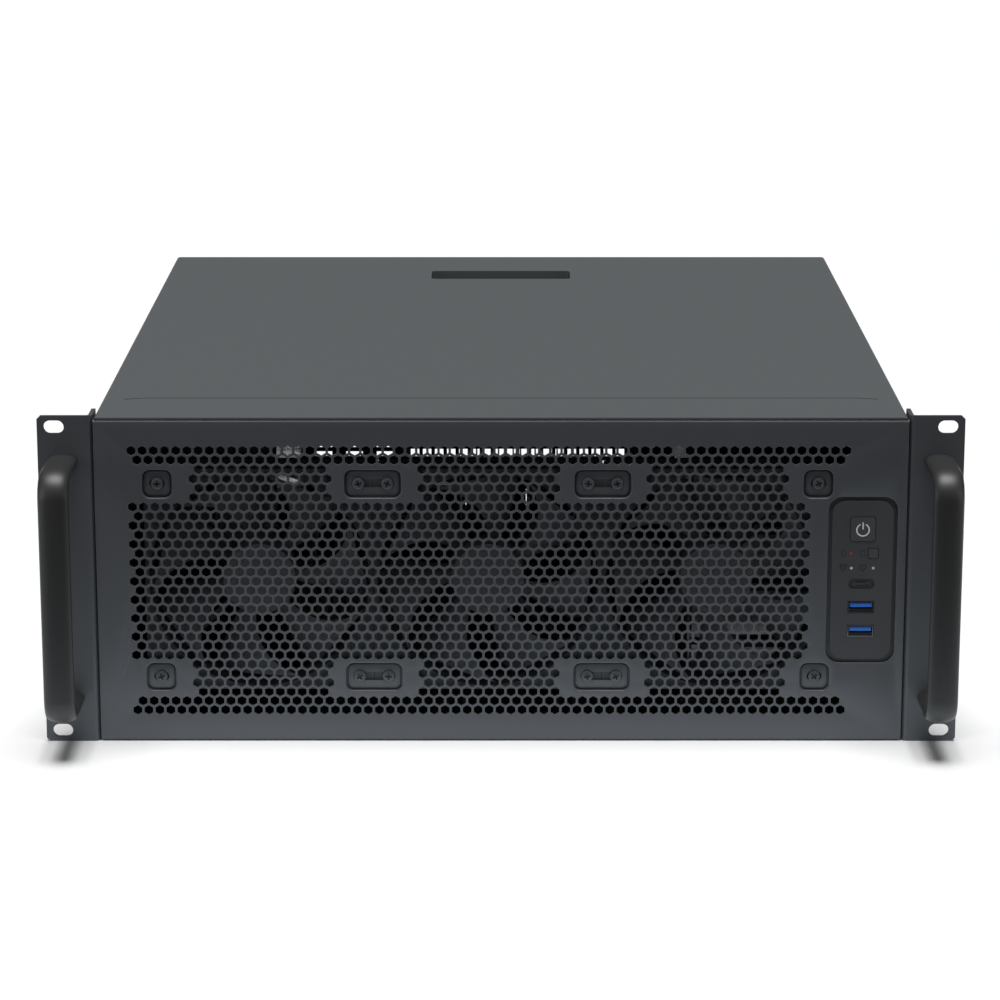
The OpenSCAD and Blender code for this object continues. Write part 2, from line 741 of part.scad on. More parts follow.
module rear_fan_frame(i) {
  color([0.11, 0.11, 0.12])
    translate([rear_fan_places[i], front_y + rear_fan_at, rear_fan_z])
      axial_frame(rear_fan_size, rear_fan_d, rear_fan_hole_pitch, rear_fan_hub_r);
}

module rear_fan_rotor(i) {
  color([0.18, 0.18, 0.19])
    translate([rear_fan_places[i], front_y + rear_fan_at, rear_fan_z])
      axial_rotor(rear_fan_size, rear_fan_d, rear_fan_hub_r);
}

// Channel that ties the side walls together under the cover
module cross_brace() {
  span = 2 * (wall_x - sheet_t - gap);
  color([0.16, 0.17, 0.18])
    translate([0, front_y + 236, tub_h - sheet_t - 15])
      wide(span)
        fold([[-14, 14.4], [-14, 0.6], [14, 0.6], [14, 14.4]], sheet_t);
}

// ---- main board ----

module motherboard() {
  color([0.06, 0.16, 0.1])
    behind(0)
      difference() {
        translate([board_left, board_rear - board_d, board_z]) cube([board_w, board_d, pcb_t]);
        for (p = standoff_places) translate([p[0], p[1], board_z - 1]) cylinder(r = 1.9, h = pcb_t + 2);
      }
}

// Hexagon pillars riveted to the floor, each with its screw
module standoffs() {
  color([0.75, 0.65, 0.35])
    for (p = standoff_places)
      translate([p[0], front_y + p[1], sheet_t]) {
        cylinder(r = 2.9, h = standoff_h, $fn = 6);
        translate([0, 0, -sheet_t]) cylinder(r = 1.5, h = sheet_t + standoff_h + pcb_t + 0.5);
        translate([0, 0, standoff_h + pcb_t]) cylinder(r = 3, h = 1.6);
      }
}

memory_places = [for (s = [-1, 1], i = [0:3]) socket_x + s * (44 + i * 8)];
memory_at = socket_at - 67;

// Card sockets, memory sockets, processor socket and power sockets
module board_sockets() {
  color([0.12, 0.12, 0.13])
    translate([0, front_y, board_top]) {
      for (i = [0:slot_count - 1])
        translate([slot_x(i) + card_offset, board_rear - 145, 0])
          difference() {
            translate([-3.7, 0, 0]) cube([7.4, 89, 11]);
            translate([-1, 2, 4]) cube([2, 85, 8]);
          }
      for (x = memory_places)
        difference() {
          translate([x - 3.2, memory_at - 4, 0]) cube([6.4, 141, 7]);
          translate([x - 0.8, memory_at - 0.5, 3]) cube([1.6, 134, 5]);
        }
      translate([socket_x - 30, socket_at - 38, 0]) cube([60, 76, 4]);
      translate([board_right - 14, board_rear - 300, 0]) cube([10, 52, 12]);
      translate([board_right - 60, board_rear - board_d + 6, 0]) cube([18, 9, 12]);
    }
}

module memory_modules() {
  color([0.07, 0.2, 0.12])
    for (x = memory_places)
      translate([x - 0.6, front_y + memory_at, board_top + 3.1]) {
        cube([1.2, 133.3, 31]);
        for (i = [0:7])
          translate([-1, 4 + i * 16, 14]) cube([3.2, 12, 11]);
      }
}

// Finned block: base plate with upright fins that run front to rear
module finned_block(w, d, h, base, pitch) {
  count = floor((w - 1) / pitch);
  step = (w - 1) / count;
  translate([-w / 2, 0, 0]) cube([w, d, base]);
  for (i = [0:count])
    translate([-w / 2 + i * step, 0, base - 0.1]) cube([1, d, h - base + 0.1]);
}

module cpu_heatsink() {
  color([0.7, 0.71, 0.73])
    translate([socket_x, front_y + socket_at - 38, board_top + 4]) finned_block(70, 76, 60, 8, 4.6);
}

cpu_fan_size = 60;
cpu_fan_d = 20;

module cpu_fan_frame() {
  color([0.11, 0.11, 0.12])
    translate([socket_x, front_y + socket_at - 38 - cpu_fan_d, board_top + 4 + cpu_fan_size / 2])
      axial_frame(cpu_fan_size, cpu_fan_d, 50, 12);
}

module cpu_fan_rotor() {
  color([0.18, 0.18, 0.19])
    translate([socket_x, front_y + socket_at - 38 - cpu_fan_d, board_top + 4 + cpu_fan_size / 2])
      axial_rotor(cpu_fan_size, cpu_fan_d, 12);
}

module board_heatsinks() {
  color([0.3, 0.31, 0.33])
    translate([0, front_y, board_top]) {
      translate([port_x, board_rear - 62, 0]) finned_block(80, 22, 26, 5, 4.4);
      translate([board_left + 120, board_rear - 300, 0]) finned_block(40, 40, 14, 4, 4.4);
    }
}

// Stamped plate that fills the port opening, with windows for the ports and vents along its top
module port_shield() {
  color([0.7, 0.71, 0.72])
    translate([port_x, front_y + body_d - sheet_t - 0.8, port_low + port_h / 2])
      difference() {
        deep(0.8) round_box(port_w + 2, port_h + 3, 1);
        for (p = ports)
          translate([p[0] - p[1] / 2 - 0.4, -1, port_foot - 0.4]) cube([p[1] + 0.8, 3, p[2] + 0.8]);
        for (x = [-70:8:70])
          translate([x, -1, port_h / 2 - 5]) deep(3) square([5.6, 5], center = true);
      }
}

// Place, width and height of each port that stands on the board in the rear opening
ports = [[62, 14, 30], [38, 16, 30], [12, 16, 30], [-16, 31, 14], [-52, 31, 14]];
port_foot = board_top - port_low - port_h / 2;

module rear_ports() {
  color([0.62, 0.63, 0.64])
    translate([port_x, front_y + body_d, port_low + port_h / 2 + port_foot])
      for (p = ports)
        translate([p[0] - p[1] / 2, -20, 0])
          difference() {
            cube([p[1], 20, p[2]]);
            translate([1.2, 12, 1.2]) cube([p[1] - 2.4, 10, p[2] - 2.4]);
          }
}

// ---- graphics cards ----

card_first_slot = slot_count - 2 * card_count;

function card_x(i) = slot_x(slot_count - 2 - 2 * i);

// Board with its edge connector and double-width bracket
module card_board(i) {
  color([0.08, 0.09, 0.1])
    translate([card_x(i), front_y, 0]) {
      translate([card_offset - pcb_t / 2, bracket_y - card_l, card_z]) cube([pcb_t, card_l + 0.1, card_h]);
      translate([card_offset - 0.75, board_rear - 141, board_top + 4.4])
        cube([1.5, 82, card_z - board_top - 4.3]);
      difference() {
        for (k = [0, -1])
          translate([k * slot_pitch, bracket_y, 0]) bracket();
        for (k = [0:9])
          translate([-slot_pitch - 5, body_d - 5, card_z + 8 + k * 8]) cube([10, 10, 4]);
      }
      translate([-slot_pitch, bracket_y, card_z]) cube([slot_pitch, bracket_t, 90]);
    }
}

// One slot bracket with its screw tab over the ledge
module bracket() {
  translate([-bracket_w / 2, 0, card_z - 9]) cube([bracket_w, bracket_t, ledge_z - card_z + 9 + bracket_t]);
  difference() {
    translate([-bracket_w / 2, 0, ledge_z]) cube([bracket_w, bracket_t + sheet_t + ledge_d - 1, bracket_t]);
    translate([0, bracket_t + sheet_t / 2 + ledge_d / 2, ledge_z - 1]) cylinder(r = 1.8, h = 4);
  }
}

card_body_w = 35;
blower_r = 31;
blower_at = 40;

function card_body_x(i) = card_x(i) + card_offset - pcb_t / 2 - card_body_w;

// Moulded and finned housing over the card's parts, open round the blower
module card_shroud(i) {
  color([0.2, 0.2, 0.21])
    translate([card_body_x(i), front_y + bracket_y - card_l, card_z + 1]) {
      difference() {
        wide_box_x(card_body_w, card_l - 0.5, card_h + 3);
        translate([-1, blower_at, card_h / 2]) rod_x(blower_r, card_body_w - 4);
        translate([4, 74, 4]) cube([card_body_w - 8, card_l, card_h - 5]);
        for (k = [0:5])
          translate([-1, 92 + k * 27, 18]) cube([2, 14, card_h - 30]);
      }
      translate([10, blower_at, card_h / 2]) rod_x(4, card_body_w - 14);
    }
}

// Box with rounded ends seen from the side, its corner at the origin
module wide_box_x(w, d, h) {
  translate([w / 2, d / 2, h / 2]) wide(w) round_box(d, h, 6);
}

// Blower wheel: disc with upright vanes round its rim, turning on the shroud's pin
module card_rotor(i) {
  color([0.16, 0.16, 0.17])
    translate([card_body_x(i), front_y + bracket_y - card_l + blower_at,
               card_z + 1 + card_h / 2]) {
      difference() {
        union() {
          translate([card_body_w - 7, 0, 0]) rod_x(blower_r - 2, 1.5);
          translate([3, 0, 0]) rod_x(11, card_body_w - 9);
        }
        translate([9.7, 0, 0]) rod_x(4.05, card_body_w);
      }
      for (a = [0:15:345])
        rotate([a, 0, 0]) translate([5, -0.5, blower_r - 9]) rotate([25, 0, 0])
          cube([card_body_w - 11, 1, 6.5]);
    }
}

// Vented covers of the free slots
module slot_covers() {
  color([0.16, 0.17, 0.18])
    for (k = [0:card_first_slot - 1])
      translate([slot_x(k), front_y + bracket_y, 0])
        difference() {
          bracket();
          for (j = [0:13])
            translate([-5.5, -1, card_z + 4 + j * 6]) cube([11, 3, 3.2]);
        }
}

module slot_screws() {
  color([0.55, 0.56, 0.58])
    for (k = [0:slot_count - 1])
      translate([slot_x(k), front_y + body_d + ledge_d / 2 - sheet_t / 2, ledge_z + bracket_t])
        rotate([-90, 0, 0]) pan_screw(3, 1.8, 1.3, bracket_t + sheet_t + 2);
}

// ---- power supply ----

psu_fan_r = 56;
psu_fan_d = 26;
psu_fan_in = 2.4;
psu_hub_r = 18;
psu_fan_at = psu_front + psu_d / 2 - 8;
psu_fan_z = psu_z + psu_h / 2;
inlet_z = psu_z + 26;
switch_z = psu_z + 52;

// Sheet box with a fan opening on its side, vents, inlet and switch openings at the rear
module psu_case() {
  t = 1;
  color([0.2, 0.2, 0.21])
    translate([psu_x - psu_w / 2, front_y + psu_front, psu_z]) {
      difference() {
        cube([psu_w, psu_d, psu_h]);
        translate([t, t, t]) cube([psu_w - 2 * t, psu_d - 2 * t, psu_h - 2 * t]);
        translate([-1, psu_fan_at - psu_front, psu_h / 2]) rod_x(psu_fan_r, t + 2);
        translate([psu_w / 2, psu_d - 5, inlet_z - psu_z]) deep(10) square([28, 20.6], center = true);
        translate([psu_w / 2, psu_d - 5, switch_z - psu_z]) deep(10) square([19.6, 13.6], center = true);
        for (row = [0:4], i = [0:5])
          translate([psu_w / 2 - 27 + i * 10.8, psu_d - 5, psu_h - 74 + row * 12])
            deep(10) rotate(30) circle(r = 4.6, $fn = 6);
        translate([psu_w - 30, -1, 40]) cube([18, t + 2, 26]);
        for (p = psu_screw_places)
          translate([p[0] - psu_x + psu_w / 2, psu_d - 5, p[1] - psu_z]) rod_y(1.6, 10);
      }
      translate([0, psu_fan_at - psu_front, psu_h / 2]) {
        translate([psu_fan_in + psu_fan_d - 12, 0, 0])
          rod_x(psu_hub_r / 2, psu_w - psu_fan_in - psu_fan_d + 11.5);
        for (a = [0:90:270])
          rotate([a, 0, 0]) translate([0, -1.5, 0]) cube([2, 3, psu_fan_r + 2]);
      }
    }
}

module psu_rotor() {
  color([0.15, 0.15, 0.16])
    translate([psu_x - psu_w / 2 + psu_fan_in, front_y + psu_fan_at, psu_fan_z])
      rotate([0, 0, -90]) axial_rotor(2 * psu_fan_r + 2, psu_fan_d, psu_hub_r);
}

// Mains inlet: flanged socket body with a shaped recess and three contacts
module psu_inlet() {
  color([0.08, 0.08, 0.085])
    translate([psu_x, front_y + psu_front + psu_d, inlet_z]) {
      difference() {
        union() {
          translate([0, -22, 0]) deep(22.1) round_box(27.4, 20, 2);
          deep(1.4) round_box(31, 24, 2.4);
        }
        translate([0, -16, 0]) deep(20)
          polygon([[-12, -8.6], [12, -8.6], [12, 4], [8, 8.2], [-8, 8.2], [-12, 4]]);
      }
      for (p = [[-7, -2], [0, 2], [7, -2]])
        translate([p[0], -17, p[1]]) deep(14) square([2, 4], center = true);
    }
}

switch_tilt = 10;

// Rocker switch, turning about its middle
module psu_switch() {
  color([0.08, 0.08, 0.085])
    translate([psu_x, front_y + psu_front + psu_d - 1, switch_z])
      rotate([-switch_tilt, 0, 0])
        wide(18.4)
          polygon([[-4, -4.8], [1.6, -6], [0.4, 0], [1.6, 6], [-4, 4.8]]);
}

module psu_screws() {
  color([0.55, 0.56, 0.58])
    for (p = psu_screw_places)
      translate([p[0], front_y + body_d, p[1]])
        mirror([0, 1, 0]) pan_screw(3.2, 1.9, 1.5, sheet_t + 5);
}

// ---- drives ----

// Folded cage with shelves, open to the front and rear
module drive_cage() {
  height = drive_count * drive_pitch + 4;
  x = cage_w / 2 + 0.6;
  color([0.45, 0.46, 0.47])
    translate([cage_x, front_y + cage_at, sheet_t]) {
      difference() {
        deep(drive_d + 10) fold([[-x, height], [-x, 0.6], [x, 0.6], [x, height]], sheet_t);
        for (k = [0:drive_count - 1], y = [30, 90])
          translate([0, y, 8 + k * drive_pitch + 6]) rod_both(2, 2 * x + 6);
      }
      for (k = [0:drive_count - 1], side = [-1, 1])
        translate([side * (x - 4) - 4, 4, 4 + k * drive_pitch]) cube([8, drive_d, 1]);
    }
}

module hard_drives() {
  color([0.6, 0.61, 0.62])
    for (k = [0:drive_count - 1])
      translate([cage_x - drive_w / 2, front_y + cage_at + 5, sheet_t + 5 + k * drive_pitch])
        difference() {
          cube([drive_w, drive_d, drive_h]);
          translate([6, -1, drive_h - 1.5]) cube([drive_w - 12, 12, 3]);
          translate([drive_w / 2, drive_d / 2 - 8, drive_h - 0.8]) cylinder(r = 38, h = 2);
        }
}

chassis_base();
rear_panel();
front_panel();
top_cover();
cover_screws();
left_ear();
right_ear();
ear_screws();
left_handle();
right_handle();
handle_screws();
control_plate();
power_button();
reset_button();
status_lights();
usb_c_port();
usb_a_shells();
usb_a_tongues();
control_board();
fan_frame(0);  // fan_frame_1
fan_frame(1);  // fan_frame_2
fan_frame(2);  // fan_frame_3
fan_rotor(0);  // fan_rotor_1
fan_rotor(1);  // fan_rotor_2
fan_rotor(2);  // fan_rotor_3
fan_screws();
cross_brace();
motherboard();
standoffs();
board_sockets();
port_shield();
rear_ports();
cpu_heatsink();
cpu_fan_frame();
cpu_fan_rotor();
memory_modules();
board_heatsinks();
card_board(0);  // card_board_1
card_board(1);  // card_board_2
card_shroud(0);  // card_shroud_1
card_shroud(1);  // card_shroud_2
card_rotor(0);  // card_rotor_1
card_rotor(1);  // card_rotor_2
slot_covers();
slot_screws();
psu_case();
psu_inlet();
psu_switch();
psu_rotor();
psu_screws();
rear_fan_frame(0);  // rear_fan_frame_1
rear_fan_frame(1);  // rear_fan_frame_2
rear_fan_rotor(0);  // rear_fan_rotor_1
rear_fan_rotor(1);  // rear_fan_rotor_2
drive_cage();
hard_drives();
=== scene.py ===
"""Rack server with graphics cards: finishes, fine face vents, handles, panel marks and board parts."""
import json
from math import cos, hypot, pi, radians, sin, sqrt

import bmesh
import bpy
from bpy.props import FloatProperty, FloatVectorProperty, IntProperty, PointerProperty
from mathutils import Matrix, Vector
from mathutils.geometry import delaunay_2d_cdt


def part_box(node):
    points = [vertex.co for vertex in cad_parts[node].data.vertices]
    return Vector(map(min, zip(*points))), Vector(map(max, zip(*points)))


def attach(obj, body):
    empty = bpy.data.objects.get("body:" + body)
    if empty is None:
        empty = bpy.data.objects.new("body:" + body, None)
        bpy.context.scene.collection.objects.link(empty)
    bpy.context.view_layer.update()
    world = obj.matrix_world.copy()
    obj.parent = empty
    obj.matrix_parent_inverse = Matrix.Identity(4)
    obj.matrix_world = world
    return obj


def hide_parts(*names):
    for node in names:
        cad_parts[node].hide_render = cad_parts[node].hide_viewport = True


bl_info = {
    "name": "Rack Server Parts",
    "version": (1, 0, 0),
    "blender": (4, 5, 0),
    "location": "View3D > Sidebar > Server",
    "description": "Builds the vented face, handles, panel marks, board parts and finishes of a rack server",
    "category": "Object",
}

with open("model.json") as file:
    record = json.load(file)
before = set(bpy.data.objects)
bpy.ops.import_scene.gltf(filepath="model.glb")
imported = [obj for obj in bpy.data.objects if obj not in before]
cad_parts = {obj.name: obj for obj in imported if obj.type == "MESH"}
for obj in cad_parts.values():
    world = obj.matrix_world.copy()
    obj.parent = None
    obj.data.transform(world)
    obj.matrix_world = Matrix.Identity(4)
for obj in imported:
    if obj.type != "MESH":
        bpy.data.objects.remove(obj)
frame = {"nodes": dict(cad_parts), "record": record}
NODES = frame["nodes"]
SLOTS = {part["node"]: part["material_slot"] for part in frame["record"]["subparts"]}
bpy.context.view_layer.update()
MM = 0.001


# ---------------------------------------------------------------- outlines and meshes

def centre(node):
    low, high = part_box(node)
    return (Vector(low) + Vector(high)) / 2


def rounded_outline(width, height, radius, steps=6):
    """Corner points of a rounded rectangle, anticlockwise from the lower right corner."""
    points = []
    for quarter, (sx, sz) in enumerate(((1, -1), (1, 1), (-1, 1), (-1, -1))):
        for i in range(steps + 1):
            angle = (quarter - 1) * pi / 2 + i / steps * pi / 2
            points.append((sx * (width / 2 - radius) + radius * cos(angle),
                           sz * (height / 2 - radius) + radius * sin(angle)))
    return points


def round_outline(radius, count=24, first=0.0, turn=2 * pi):
    closed = abs(turn - 2 * pi) < 1e-6
    steps = count if closed else count - 1
    angles = [first + turn * i / steps for i in range(count)]
    return [(radius * cos(angle), radius * sin(angle)) for angle in angles]


def moved(points, x, z):
    return [(px + x, pz + z) for px, pz in points]


class Shape:
    """Vertices and faces of one piece while it is put together."""

    def __init__(self):
        self.verts, self.faces = [], []

    def ring(self, points):
        first = len(self.verts)
        self.verts.extend(points)
        return list(range(first, len(self.verts)))

    def bridge(self, a, b, closed=True):
        count = len(a)
        for i in range(count if closed else count - 1):
            j = (i + 1) % count
            self.faces.append((a[i], a[j], b[j], b[i]))

    def cap(self, ring, flip=False):
        self.faces.append(tuple(reversed(ring)) if flip else tuple(ring))

    def block(self, low, high, edge=0.0):
        """Box with all its upper edges broken."""
        x0, y0, z0 = low
        x1, y1, z1 = high
        corners = lambda e, z: [(x0 + e, y0 + e, z), (x1 - e, y0 + e, z), (x1 - e, y1 - e, z), (x0 + e, y1 - e, z)]
        rings = [self.ring(corners(0, z0)), self.ring(corners(0, z1 - edge))]
        if edge:
            rings.append(self.ring(corners(edge, z1)))
        self.cap(rings[0], flip=True)
        for a, b in zip(rings, rings[1:]):
            self.bridge(a, b)
        self.cap(rings[-1])

    def turned(self, profile, at, count=20):
        """Solid of revolution about an upright axis; profile is radius and height from the bottom."""
        rings = [self.ring([(at[0] + r * cos(2 * pi * i / count), at[1] + r * sin(2 * pi * i / count), at[2] + z)
                            for i in range(count)]) for r, z in profile]
        self.cap(rings[0], flip=True)
        for a, b in zip(rings, rings[1:]):
            self.bridge(a, b)
        self.cap(rings[-1])

    def plate(self, outline, y0, y1):
        """Flat mark or plate in the plane of the face, from depth y0 forward to y1."""
        back = self.ring([(x, y0, z) for x, z in outline])
        front = self.ring([(x, y1, z) for x, z in outline])
        self.bridge(front, back)
        self.cap(back, flip=True)
        self.cap(front)

    def band(self, outer, inner, y0, y1, closed=True):
        """Flat ring between two outlines of like count; an open one has square ends."""
        rings = [self.ring([(x, y, z) for x, z in outline])
                 for outline, y in ((outer, y1), (outer, y0), (inner, y0), (inner, y1))]
        for a, b in zip(rings, rings[1:] + rings[:1]):
            self.bridge(a, b, closed)
        if not closed:
            self.faces.append(tuple(r[0] for r in rings))
            self.faces.append(tuple(r[-1] for r in reversed(rings)))

    def piece(self, name, material, body, slot, smooth=35):
        mesh = bpy.data.meshes.new(name)
        mesh.from_pydata([tuple(v) for v in self.verts], [], self.faces)
        mesh.validate()
        made = bpy.data.objects.new(name, mesh)
        bpy.context.scene.collection.objects.link(made)
        outward(mesh)
        mesh.polygons.foreach_set("use_smooth", [True] * len(mesh.polygons))
        mesh.set_sharp_from_angle(angle=radians(smooth))
        mesh.materials.append(material)
        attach(made, body)
        return made


def outward(mesh):
    """Turns every face of a closed mesh to look outward."""
    work = bmesh.new()
    work.from_mesh(mesh)
    bmesh.ops.recalc_face_normals(work, faces=work.faces)
    work.to_mesh(mesh)
    work.free()


def swept(shape, path, section, across):
    """Solid along a path; the section's first direction is across, its second lies in the path's bend."""
    rings = []
    for i, point in enumerate(path):
        before, after = path[max(i - 1, 0)], path[min(i + 1, len(path) - 1)]
        along = (after - before).normalized()
        side = along.cross(across).normalized()
        rings.append(shape.ring([point + across * a + side * b for a, b in section]))
    for a, b in zip(rings, rings[1:]):
        shape.bridge(a, b)
    shape.cap(rings[0], flip=True)
    shape.cap(rings[-1])


def arc(middle, radius, first, last, steps, place):
    return [place(middle[0] + radius * cos(first + (last - first) * i / steps),
                  middle[1] + radius * sin(first + (last - first) * i / steps)) for i in range(steps + 1)]


# ---------------------------------------------------------------- finishes

def socket(group, name, way, kind, value=None):
    made = group.interface.new_socket(name=name, in_out=way, socket_type=kind)
    if value is not None:
        made.default_value = value
    return made


def surface_group(name, extra, fill):
    """Shader node group that turns a colour and a roughness into ones that vary, with a height."""
    group = bpy.data.node_groups.new(name, "ShaderNodeTree")
    socket(group, "Colour", "INPUT", "NodeSocketColor", (0.1, 0.1, 0.1, 1))
    socket(group, "Roughness", "INPUT", "NodeSocketFloat", 0.5)
    for label, value in extra.items():
        socket(group, label, "INPUT", "NodeSocketFloat", value)
    socket(group, "Colour", "OUTPUT", "NodeSocketColor")
    socket(group, "Roughness", "OUTPUT", "NodeSocketFloat")
    socket(group, "Height", "OUTPUT", "NodeSocketFloat")
    build = Tree(group)
    build.source = group.nodes.new("NodeGroupInput")
    build.sink = group.nodes.new("NodeGroupOutput")
    build.place = group.nodes.new("ShaderNodeTexCoord").outputs["Object"]
    fill(build, build.source.outputs, build.sink.inputs)
    return group


class Tree:
    """Short way to add and join nodes."""

    def __init__(self, tree):
        self.tree = tree

    def join(self, source, target):
        self.tree.links.new(source, target)

    def math(self, operation, a, b, clamp=False):
        node = self.tree.nodes.new("ShaderNodeMath")
        node.operation, node.use_clamp = operation, clamp
        for target, value in zip(node.inputs, (a, b)):
            self.feed(target, value)
        return node.outputs[0]

    def feed(self, target, value):
        if isinstance(value, (int, float)):
            target.default_value = value
        else:
            self.join(value, target)

    def noise(self, scale, detail=2.0, place=None):
        node = self.tree.nodes.new("ShaderNodeTexNoise")
        self.join(place or self.place, node.inputs["Vector"])
        self.feed(node.inputs["Scale"], scale)
        node.inputs["Detail"].default_value = detail
        return node.outputs["Fac"]

    def cells(self, scale, feature="F1", place=None):
        node = self.tree.nodes.new("ShaderNodeTexVoronoi")
        node.feature = feature
        self.join(place or self.place, node.inputs["Vector"])
        self.feed(node.inputs["Scale"], scale)
        return node.outputs["Distance"]

    def stretched(self, x, y, z):
        node = self.tree.nodes.new("ShaderNodeMapping")
        self.join(self.place, node.inputs["Vector"])
        node.inputs["Scale"].default_value = (x, y, z)
        return node.outputs["Vector"]

    def between(self, value, low, high, to_low, to_high):
        node = self.tree.nodes.new("ShaderNodeMapRange")
        self.feed(node.inputs["Value"], value)
        for label, number in zip(("From Min", "From Max", "To Min", "To Max"), (low, high, to_low, to_high)):
            self.feed(node.inputs[label], number)
        return node.outputs["Result"]

    def mixed(self, factor, a, b, blend="MIX"):
        node = self.tree.nodes.new("ShaderNodeMix")
        node.data_type, node.blend_type = "RGBA", blend
        self.feed(node.inputs["Factor"], factor)
        colours = [s for s in node.inputs if s.type == "RGBA"]
        for target, value in zip(colours, (a, b)):
            if isinstance(value, tuple):
                target.default_value = value
            else:
                self.join(value, target)
        return [s for s in node.outputs if s.type == "RGBA"][0]


def coat_grain(build, given, out):
    """Powder coat: fine pebbled skin, a little colour change grain by grain that also paints the small glints of the
    skin, and broad mottling.
    """
    fine = build.noise(given["Grain"], 3.0)
    pebble = build.cells(build.math("MULTIPLY", given["Grain"], 0.55), "SMOOTH_F1")
    broad = build.noise(9.0, 1.0)
    # Colour speckle grain by grain, made strong enough to also paint the small glints of the pebbled skin.
    speck_and_glints = build.between(fine, 0.38, 0.62, 0.5, 1.6)
    shade = build.math("MULTIPLY", speck_and_glints, build.between(broad, 0.3, 0.7, 0.94, 1.06))
    grey = build.tree.nodes.new("ShaderNodeCombineColor")
    for target in grey.inputs[:3]:
        build.join(shade, target)
    build.join(build.mixed(1.0, given["Colour"], grey.outputs[0], "MULTIPLY"), out["Colour"])
    build.join(build.math("ADD", given["Roughness"], build.between(fine, 0.3, 0.7, -0.05, 0.06)),
               out["Roughness"])
    build.join(build.math("ADD", build.math("MULTIPLY", pebble, 0.6), build.math("MULTIPLY", fine, 0.4)),
               out["Height"])


def moulded_skin(build, given, out):
    """Moulded plastic: spark-eroded stipple with a slow change in gloss."""
    stipple = build.cells(given["Grain"])
    slow = build.noise(22.0, 2.0)
    shade = build.between(slow, 0.3, 0.7, 0.9, 1.1)
    grey = build.tree.nodes.new("ShaderNodeCombineColor")
    for target in grey.inputs[:3]:
        build.join(shade, target)
    build.join(build.mixed(1.0, given["Colour"], grey.outputs[0], "MULTIPLY"), out["Colour"])
    build.join(build.math("ADD", given["Roughness"], build.between(slow, 0.3, 0.7, -0.04, 0.05)),
               out["Roughness"])
    build.join(stipple, out["Height"])


def drawn_metal(build, given, out):
    """Rolled or brushed metal: long fine lines and faint patches."""
    lines = build.noise(given["Grain"], 4.0, build.stretched(0.02, 1.0, 1.0))
    patch = build.noise(30.0, 2.0)
    shade = build.math("MULTIPLY", build.between(lines, 0.3, 0.7, 0.86, 1.08),
                       build.between(patch, 0.3, 0.7, 0.93, 1.04))
    grey = build.tree.nodes.new("ShaderNodeCombineColor")
    for target in grey.inputs[:3]:
        build.join(shade, target)
    build.join(build.mixed(1.0, given["Colour"], grey.outputs[0], "MULTIPLY"), out["Colour"])
    build.join(build.math("ADD", given["Roughness"], build.between(lines, 0.3, 0.7, -0.08, 0.1)),
               out["Roughness"])
    build.join(lines, out["Height"])


def board_mask(build, given, out):
    """Printed board: copper runs under the solder mask, square to the board, and small bare pads."""
    brick = build.tree.nodes.new("ShaderNodeTexBrick")
    build.join(build.place, brick.inputs["Vector"])
    build.feed(brick.inputs["Scale"], given["Grain"])
    brick.offset, brick.squash = 0.37, 0.6
    brick.inputs["Mortar Size"].default_value = 0.018
    brick.inputs["Color1"].default_value = (0.0, 0.0, 0.0, 1)
    brick.inputs["Color2"].default_value = (0.22, 0.22, 0.22, 1)
    brick.inputs["Mortar"].default_value = (1, 1, 1, 1)
    runs = brick.outputs["Color"]
    value = build.tree.nodes.new("ShaderNodeRGBToBW")
    build.join(runs, value.inputs[0])
    dots = build.between(build.cells(build.math("MULTIPLY", given["Grain"], 2.2)), 0.06, 0.1, 1.0, 0.0)
    lighter = build.mixed(1.0, given["Colour"], (1.9, 1.9, 1.6, 1), "MULTIPLY")
    masked = build.mixed(value.outputs[0], given["Colour"], lighter)
    build.join(build.mixed(dots, masked, (0.55, 0.46, 0.26, 1)), out["Colour"])
    build.join(build.math("ADD", given["Roughness"], build.math("MULTIPLY", value.outputs[0], 0.08)),
               out["Roughness"])
    build.join(value.outputs[0], out["Height"])


GROUPS = {
    "coat": ("coat_grain", {"Grain": 1500.0}, coat_grain),
    "skin": ("moulded_skin", {"Grain": 1800.0}, moulded_skin),
    "metal": ("drawn_metal", {"Grain": 700.0}, drawn_metal),
    "mask": ("board_mask", {"Grain": 60.0}, board_mask),
}


def finish(name, group, colour, roughness, grain, bump, metallic=0.0, coat=0.0, glow=0.0, specular=0.5):
    """Material whose colour, roughness and relief come from one of the shared groups."""
    if name in bpy.data.materials:
        return bpy.data.materials[name]
    label, extra, fill = GROUPS[group]
    tree = bpy.data.node_groups.get(label) or surface_group(label, extra, fill)
    material = bpy.data.materials.new(name)
    material.use_nodes = True
    build = Tree(material.node_tree)
    shader = material.node_tree.nodes["Principled BSDF"]
    effect = material.node_tree.nodes.new("ShaderNodeGroup")
    effect.node_tree = tree
    effect.inputs["Colour"].default_value = (*colour, 1)
    effect.inputs["Roughness"].default_value = roughness
    effect.inputs["Grain"].default_value = grain
    build.join(effect.outputs["Colour"], shader.inputs["Base Color"])
    build.join(effect.outputs["Roughness"], shader.inputs["Roughness"])
    relief = material.node_tree.nodes.new("ShaderNodeBump")
    relief.inputs["Strength"].default_value = bump
    relief.inputs["Distance"].default_value = 0.0001
    build.join(effect.outputs["Height"], relief.inputs["Height"])
    build.join(relief.outputs["Normal"], shader.inputs["Normal"])
    shader.inputs["Metallic"].default_value = metallic
    shader.inputs["Coat Weight"].default_value = coat
    shader.inputs["Specular IOR Level"].default_value = specular
    if glow:
        build.join(effect.outputs["Colour"], shader.inputs["Emission Color"])
        shader.inputs["Emission Strength"].default_value = glow
    return material


